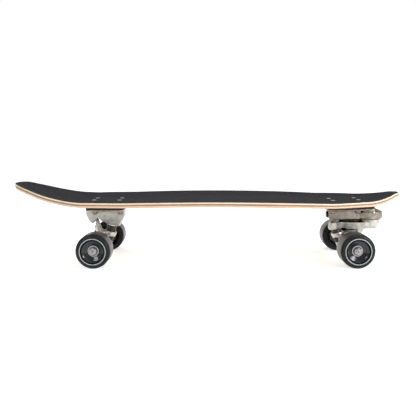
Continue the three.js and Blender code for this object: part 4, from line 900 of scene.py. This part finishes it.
def build_nut(prefix, place, body):
    """Axle nut: a washer, a hexagon and a lock collar."""
    start = BEARING_FACE + SEAT_GAP
    seat = start + AXLE_WASHER_THICKNESS
    end = seat + AXLE_NUT_HEIGHT
    bore = AXLE_RADIUS + SEAT_GAP
    reach = AXLE_WASHER_RADIUS + EDGE
    wall = (bore + AXLE_NUT_FLATS / 2) / 2
    nut = hexagon_nut(f"{prefix}_nut_hexagon", AXLE_NUT_FLATS, seat, end - 2 * EDGE, bore, place)
    washer = lathe(f"{prefix}_nut_washer", [
        (bore, start), (reach - EDGE, start), (reach, start + EDGE), (reach, seat - EDGE),
        (reach - EDGE, seat), (bore, seat),
    ], place, NUT_STEPS)
    collar = lathe(f"{prefix}_nut_collar", [
        (bore, end - 3 * EDGE), (wall + EDGE, end - 3 * EDGE), (wall + EDGE, end - EDGE), (wall, end),
        (bore + EDGE, end), (bore, end - EDGE),
    ], place, NUT_STEPS)
    for piece in (nut, washer, collar):
        dress(piece, WHEEL_NUT_STEEL)
    stands_for(joined(f"{prefix}_nut", nut, washer, collar), f"{prefix}_axle_nut", body)


def build_wheel(truck, side, axle, outward):
    """Tyre body, core, bearings and axle nut of one wheel."""
    place = along(outward, axle + outward * WHEEL_CENTRE)
    prefix = f"{truck}_{side}"
    body = f"{prefix}_wheel"
    points, finishes = tyre_profile(AXLE_HEIGHT)
    tyre = lathe(f"{prefix}_tyre", points, place, TYRE_STEPS)
    dress(tyre, URETHANE, LIP_RING, GROUND, PAINTED_SHEEN_TREAD)
    finish_strips(tyre, finishes)
    stands_for(tyre, f"{prefix}_wheel", body)

    core = lathe(f"{prefix}_hub_core", core_profile(), place, CORE_STEPS)
    dress(core, CORE)
    stands_for(core, f"{prefix}_core", body)

    section, strips = bearing_profile()
    for label, flip in (("outer", 1), ("inner", -1)):
        flipped = [(r, z * flip) for r, z in section]
        bearing = lathe(f"{prefix}_{label}_race", flipped, place, BEARING_STEPS)
        dress(bearing, RACE_STEEL, PAINTED_SHADE_SHIELD_STEEL)
        finish_strips(bearing, strips)
        stands_for(bearing, f"{prefix}_{label}_bearing", body)
    build_nut(prefix, place, f"{truck}_hanger")


def axle_profile():
    """Half of the axle's section, from its middle outwards, ending in a turned thread."""
    start = HANGER_WIDTH / 2 + SEAT_GAP
    face = start + AXLE_WASHER_THICKNESS
    spacer = BEARING_SPACING / 2 - SEAT_GAP
    near = WHEEL_CENTRE - spacer
    far = WHEEL_CENTRE + spacer
    end = AXLE_LENGTH / 2
    root = AXLE_RADIUS - THREAD_PITCH / 3
    half = [
        (AXLE_RADIUS, start), (AXLE_WASHER_RADIUS - EDGE, start), (AXLE_WASHER_RADIUS, start + EDGE),
        (AXLE_WASHER_RADIUS, face - EDGE), (AXLE_WASHER_RADIUS - EDGE, face), (AXLE_RADIUS, face),
        (AXLE_RADIUS, near), (AXLE_SPACER_RADIUS, near), (AXLE_SPACER_RADIUS, far), (AXLE_RADIUS, far),
    ]
    first = end - (THREAD_TURNS + 1 / 2) * THREAD_PITCH
    half.append((AXLE_RADIUS, first))
    for i in range(THREAD_TURNS):
        turn = first + i * THREAD_PITCH
        half += [(root, turn + THREAD_PITCH / 2), (AXLE_RADIUS - EDGE / 4, turn + THREAD_PITCH)]
    dimple = root / 2
    half += [(root, end - EDGE), (root - 2 * EDGE, end)]
    half += [(dimple, end), (dimple - EDGE, end - EDGE), (0, end - 2 * EDGE)]
    return half


def build_axle(truck, axle):
    """Axle rod with a turned thread at both ends, speed washers and bearing spacers."""
    half = axle_profile()
    whole = [(r, -z) for r, z in reversed(half)] + half
    rod = lathe(f"{truck}_axle_rod", whole, along(Vector((0, 1, 0)), axle), AXLE_STEPS, loop=False)
    dress(rod, AXLE_STEEL, BROWNED_STEEL)
    dimple = [DIMPLE_FINISH] * DIMPLE_STRIPS
    plain = [PLAIN_FINISH] * (len(whole) - 1 - 2 * DIMPLE_STRIPS)
    finish_strips(rod, dimple + plain + dimple)
    stands_for(rod, f"{truck}_axle", f"{truck}_hanger")


def build_wheels():
    """Both axles with their wheels, at the places of the wheel joints."""
    spins = [joint for joint in frame["joints"] if joint.get("continuous")]
    places = {joint["child"]: Vector(joint["pos_m"]) for joint in spins}
    for truck in ("rear", "front"):
        axle = places[f"{truck}_right_wheel"]
        build_axle(truck, axle)
        for side, sign in (("right", -1), ("left", 1)):
            build_wheel(truck, side, axle, Vector((0, sign, 0)))


# Castings and small parts that keep the solids' forms

# Parts of both trucks: end of the node's name, end of the piece's name, material, slot, edge radius
TRUCK_PARTS = [
    ("upper_washer", "upper_washer_plate", BRIGHT_STEEL, "steel", 0.3 * MM),
    ("lower_washer", "lower_washer_plate", BRIGHT_STEEL, "steel", 0.3 * MM),
    ("kingpin", "kingpin_bolt", BRIGHT_STEEL, "steel", 0.4 * MM),
    ("kingpin_nut", "kingpin_lock_nut", BRIGHT_STEEL, "steel", 0.4 * MM),
    ("pivot_cup", "cup", CUP, "cup_plastic", 0.3 * MM),
]
# Single parts: node, name of the piece, material, slot, edge radius
SINGLE_PARTS = [
    ("rear_riser_pad", "rear_riser", RUBBER, "riser_rubber", 0.5 * MM),
    ("front_riser_pad", "front_riser", RUBBER, "riser_rubber", 0.5 * MM),
    ("swing_pivot_bolt", "swing_bolt", BRIGHT_STEEL, "steel", 0.3 * MM),
    ("swing_pivot_nut", "swing_nut", BRIGHT_STEEL, "steel", 0.3 * MM),
    ("swing_upper_bearing", "swing_thrust_race", BRONZE, "bronze", 0.3 * MM),
    ("swing_lower_bearing", "swing_foot_race", RACE_STEEL, "bearing_steel", 0.3 * MM),
    ("spring_plunger", "plunger_pin", BRIGHT_STEEL, "steel", 0.2 * MM),
    ("spring_adjuster", "adjuster_screw", BLACK_STEEL, "black_steel", 0.4 * MM),
]


def copy_of(node, name):
    """A new object with the node's own form."""
    return object_of(frame["nodes"][node].data.copy(), name)


def recoat(piece, material):
    """Gives a piece one material in place of those it came with."""
    piece.data.materials.clear()
    dress(piece, material)


def smoothed(node, name, material, voxel, rounds, extra=None):
    """The node's form, and an extra body fused to it, with filleted corners and softened edges."""
    piece = copy_of(node, name)
    if extra is not None:
        piece = joined(name, piece, extra)
    recoat(piece, material)
    remesh = piece.modifiers.new("skin", "REMESH")
    remesh.mode = "VOXEL"
    remesh.voxel_size = voxel
    soften = piece.modifiers.new("soften", "SMOOTH")
    soften.factor = SMOOTH_FACTOR
    soften.iterations = rounds
    return baked(piece, SOFT_CREASE_ANGLE)


def casting(node, name, material, extra=None):
    """A casting that replaces its node."""
    piece = smoothed(node, name, material, CAST_VOXEL, CAST_ROUNDS, extra)
    stands_for(piece, node, body_of(node))


def rounded(node, name, material, width):
    """The node's form with its edges rounded."""
    piece = copy_of(node, name)
    recoat(piece, material)
    bevel = piece.modifiers.new("edges", "BEVEL")
    bevel.width = width
    bevel.segments = BEVEL_SEGMENTS
    bevel.limit_method = "ANGLE"
    bevel.angle_limit = math.radians(BEVEL_CREASE_ANGLE)
    return baked(piece, BEVEL_CREASE_ANGLE)


def arm_land():
    """A raised land along the top of the arm, its ends and sides sloping."""
    slope = (LAND_TOP - LAND_BOTTOM) / 3
    bm = bmesh.new()
    rings = []
    for height, draw in ((LAND_BOTTOM, 0), (LAND_TOP, slope)):
        start = LAND_START + draw
        end = LAND_END - draw
        side = LAND_HALF_WIDTH - draw
        corner = side / 2
        plan = [
            (start, -corner), (start + corner, -side), (end, -side), (end, side),
            (start + corner, side), (start, corner),
        ]
        rings.append([bm.verts.new((x, y, height)) for x, y in plan])
    low, high = rings
    for i in range(len(low)):
        j = (i + 1) % len(low)
        bm.faces.new((low[i], low[j], high[j], high[i]))
    bm.faces.new(high)
    bm.faces.new(list(reversed(low)))
    bm.transform(FRONT_FRAME)
    return object_from(bm, "arm_land")


def head_shoulder():
    """A ring under the flange's front end, cut off where the flange ends."""
    corners = [
        (SHOULDER_INNER_RADIUS, SHOULDER_BOTTOM), (SHOULDER_RADIUS, SHOULDER_BOTTOM),
        (SHOULDER_RADIUS, SHOULDER_TOP), (SHOULDER_INNER_RADIUS, SHOULDER_TOP),
    ]
    bm = bmesh.new()
    sections = []
    for i in range(SHOULDER_STEPS + 1):
        section = []
        for radius, height in corners:
            turn = math.acos((SHOULDER_END - SHOULDER_MIDDLE) / radius)
            angle = turn + (2 * math.pi - 2 * turn) * i / SHOULDER_STEPS
            place = (SHOULDER_MIDDLE + radius * math.cos(angle), radius * math.sin(angle), height)
            section.append(bm.verts.new(place))
        sections.append(section)
    for near, far in zip(sections, sections[1:]):
        for j in range(len(corners)):
            k = (j + 1) % len(corners)
            bm.faces.new((near[j], near[k], far[k], far[j]))
    bm.faces.new(list(reversed(sections[0])))
    bm.faces.new(sections[-1])
    bmesh.ops.recalc_face_normals(bm, faces=bm.faces)
    bm.transform(FRONT_FRAME)
    return object_from(bm, "head_shoulder")


def build_castings():
    """Both bases, the swing arm and both hangers."""
    casting("rear_baseplate", "rear_base_casting", CAST)
    casting("rear_hanger", "rear_hanger_casting", PAINTED_LIGHT_CAST)
    casting("front_baseplate", "front_base_casting", PAINTED_SHADE_CAST, head_shoulder())
    casting("swing_arm", "swing_arm_casting", PAINTED_LIGHT_ARM_CAST, arm_land())
    casting("front_hanger", "front_hanger_casting", PAINTED_LIGHT_CAST)


def build_bushings(truck):
    """The two bushings between the base's washers and the hanger's ring, smoothed, with their place baked into the
    mesh, in place of their nodes.
    """
    for label, sign in (("upper_bushing", 1), ("lower_bushing", -1)):
        node = f"{truck}_{label}"
        piece = smoothed(node, f"{node}_urethane", BUSHING, BUSHING_VOXEL, BUSHING_ROUNDS)
        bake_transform(piece)
        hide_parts(node)


def build_return_coil():
    """The wound spring, its edges rounded, riding on the board with a mesh of its own."""
    coil = rounded("return_spring", "return_coil", BRIGHT_STEEL, COIL_EDGE)
    stands_for(coil, "return_spring", "board")
    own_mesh(coil)


def build_small_parts():
    """Bushings, washers, kingpins and cups of both trucks, and the front truck's inner parts."""
    parts = list(SINGLE_PARTS)
    for truck, base in (("rear", "board"), ("front", "swing_arm")):
        build_bushings(truck)
        for node_end, name_end, material, slot, width in TRUCK_PARTS:
            parts.append((f"{truck}_{node_end}", f"{truck}_{name_end}", material, slot, width))
    for node, name, material, slot, width in parts:
        stands_for(rounded(node, name, material, width), node, body_of(node))
    build_return_coil()


# Stage


def combined(tree, operation, first, second):
    """A number worked out from two others."""
    node = tree.nodes.new("ShaderNodeMath")
    node.operation = operation
    tree.links.new(first, node.inputs[0])
    tree.links.new(second, node.inputs[1])
    return node.outputs[0]


def seen_directly(tree, low, high):
    """A strength: high where the camera looks, mirrored or through glass too, and else low."""
    path = tree.nodes.new("ShaderNodeLightPath")
    seen = combined(tree, "MAXIMUM", path.outputs["Is Camera Ray"], path.outputs["Is Glossy Ray"])
    seen = combined(tree, "MAXIMUM", seen, path.outputs["Is Transmission Ray"])
    return spread(tree, seen, (0, 1), (low, high))


def build_floor():
    """A white floor that keeps the board's shadow."""
    bm = bmesh.new()
    bm.faces.new([bm.verts.new((x, y, -FLOOR_DROP)) for x, y in FLOOR_CORNERS])
    floor = object_from(bm, "floor")
    made = Nodes("floor_white")
    made.constants(Roughness=0.9, Base_Color=FLOOR_COLOUR, Emission_Color=WHITE)
    made.link(seen_directly(made.tree, 0, FLOOR_GLOW), made.shader.inputs["Emission Strength"])
    dress(floor, made.material)


def build_world():
    """A room that is white to the camera, and lights the board more from one side."""
    world = bpy.data.worlds.new("studio")
    bpy.context.scene.world = world
    world.use_nodes = True
    tree = world.node_tree
    background = tree.nodes["Background"]
    place = tree.nodes.new("ShaderNodeTexCoord")
    facing = tree.nodes.new("ShaderNodeVectorMath")
    facing.operation = "DOT_PRODUCT"
    facing.inputs[1].default_value = BRIGHT_SIDE
    tree.links.new(place.outputs["Generated"], facing.inputs[0])
    room = spread(tree, facing.outputs["Value"], DIM_TO_BRIGHT, (ROOM_LIGHT, 1), smooth=True)
    path = tree.nodes.new("ShaderNodeLightPath")
    shown = combined(tree, "MAXIMUM", room, path.outputs["Is Camera Ray"])
    strength = combined(tree, "MULTIPLY", seen_directly(tree, SKY_LIGHT, 1), shown)
    tree.links.new(strength, background.inputs["Strength"])
    background.inputs["Color"].default_value = WHITE


def build_lamps():
    """Soft lamps, each aimed at the board."""
    for name, place, aim, size, power in LAMPS:
        lamp = bpy.data.lights.new(name, "AREA")
        lamp.shape = "RECTANGLE"
        lamp.size, lamp.size_y = size
        lamp.energy = power
        holder = object_of(lamp, name)
        holder.location = place
        holder.rotation_euler = (Vector(aim) - Vector(place)).to_track_quat("-Z", "Y").to_euler()


def build_camera():
    """The photograph's camera."""
    camera = bpy.data.cameras.new("photo_camera")
    camera.sensor_width = SENSOR_WIDTH
    camera.sensor_fit = "HORIZONTAL"
    camera.lens = FOCAL_PIXELS / PHOTO_PIXELS * SENSOR_WIDTH
    camera.clip_start = CLIP_START
    holder = object_of(camera, "photo_camera")
    holder.location = CAMERA_PLACE
    holder.rotation_euler = (math.pi / 2 - CAMERA_DOWN, 0, 0)
    bpy.context.scene.camera = holder


build_camera()
build_lamps()
build_floor()
build_world()
build_deck()
build_grip()
build_screws()
build_wheels()
build_castings()
build_small_parts()

scene = bpy.context.scene
scene.view_settings.view_transform = "Standard"
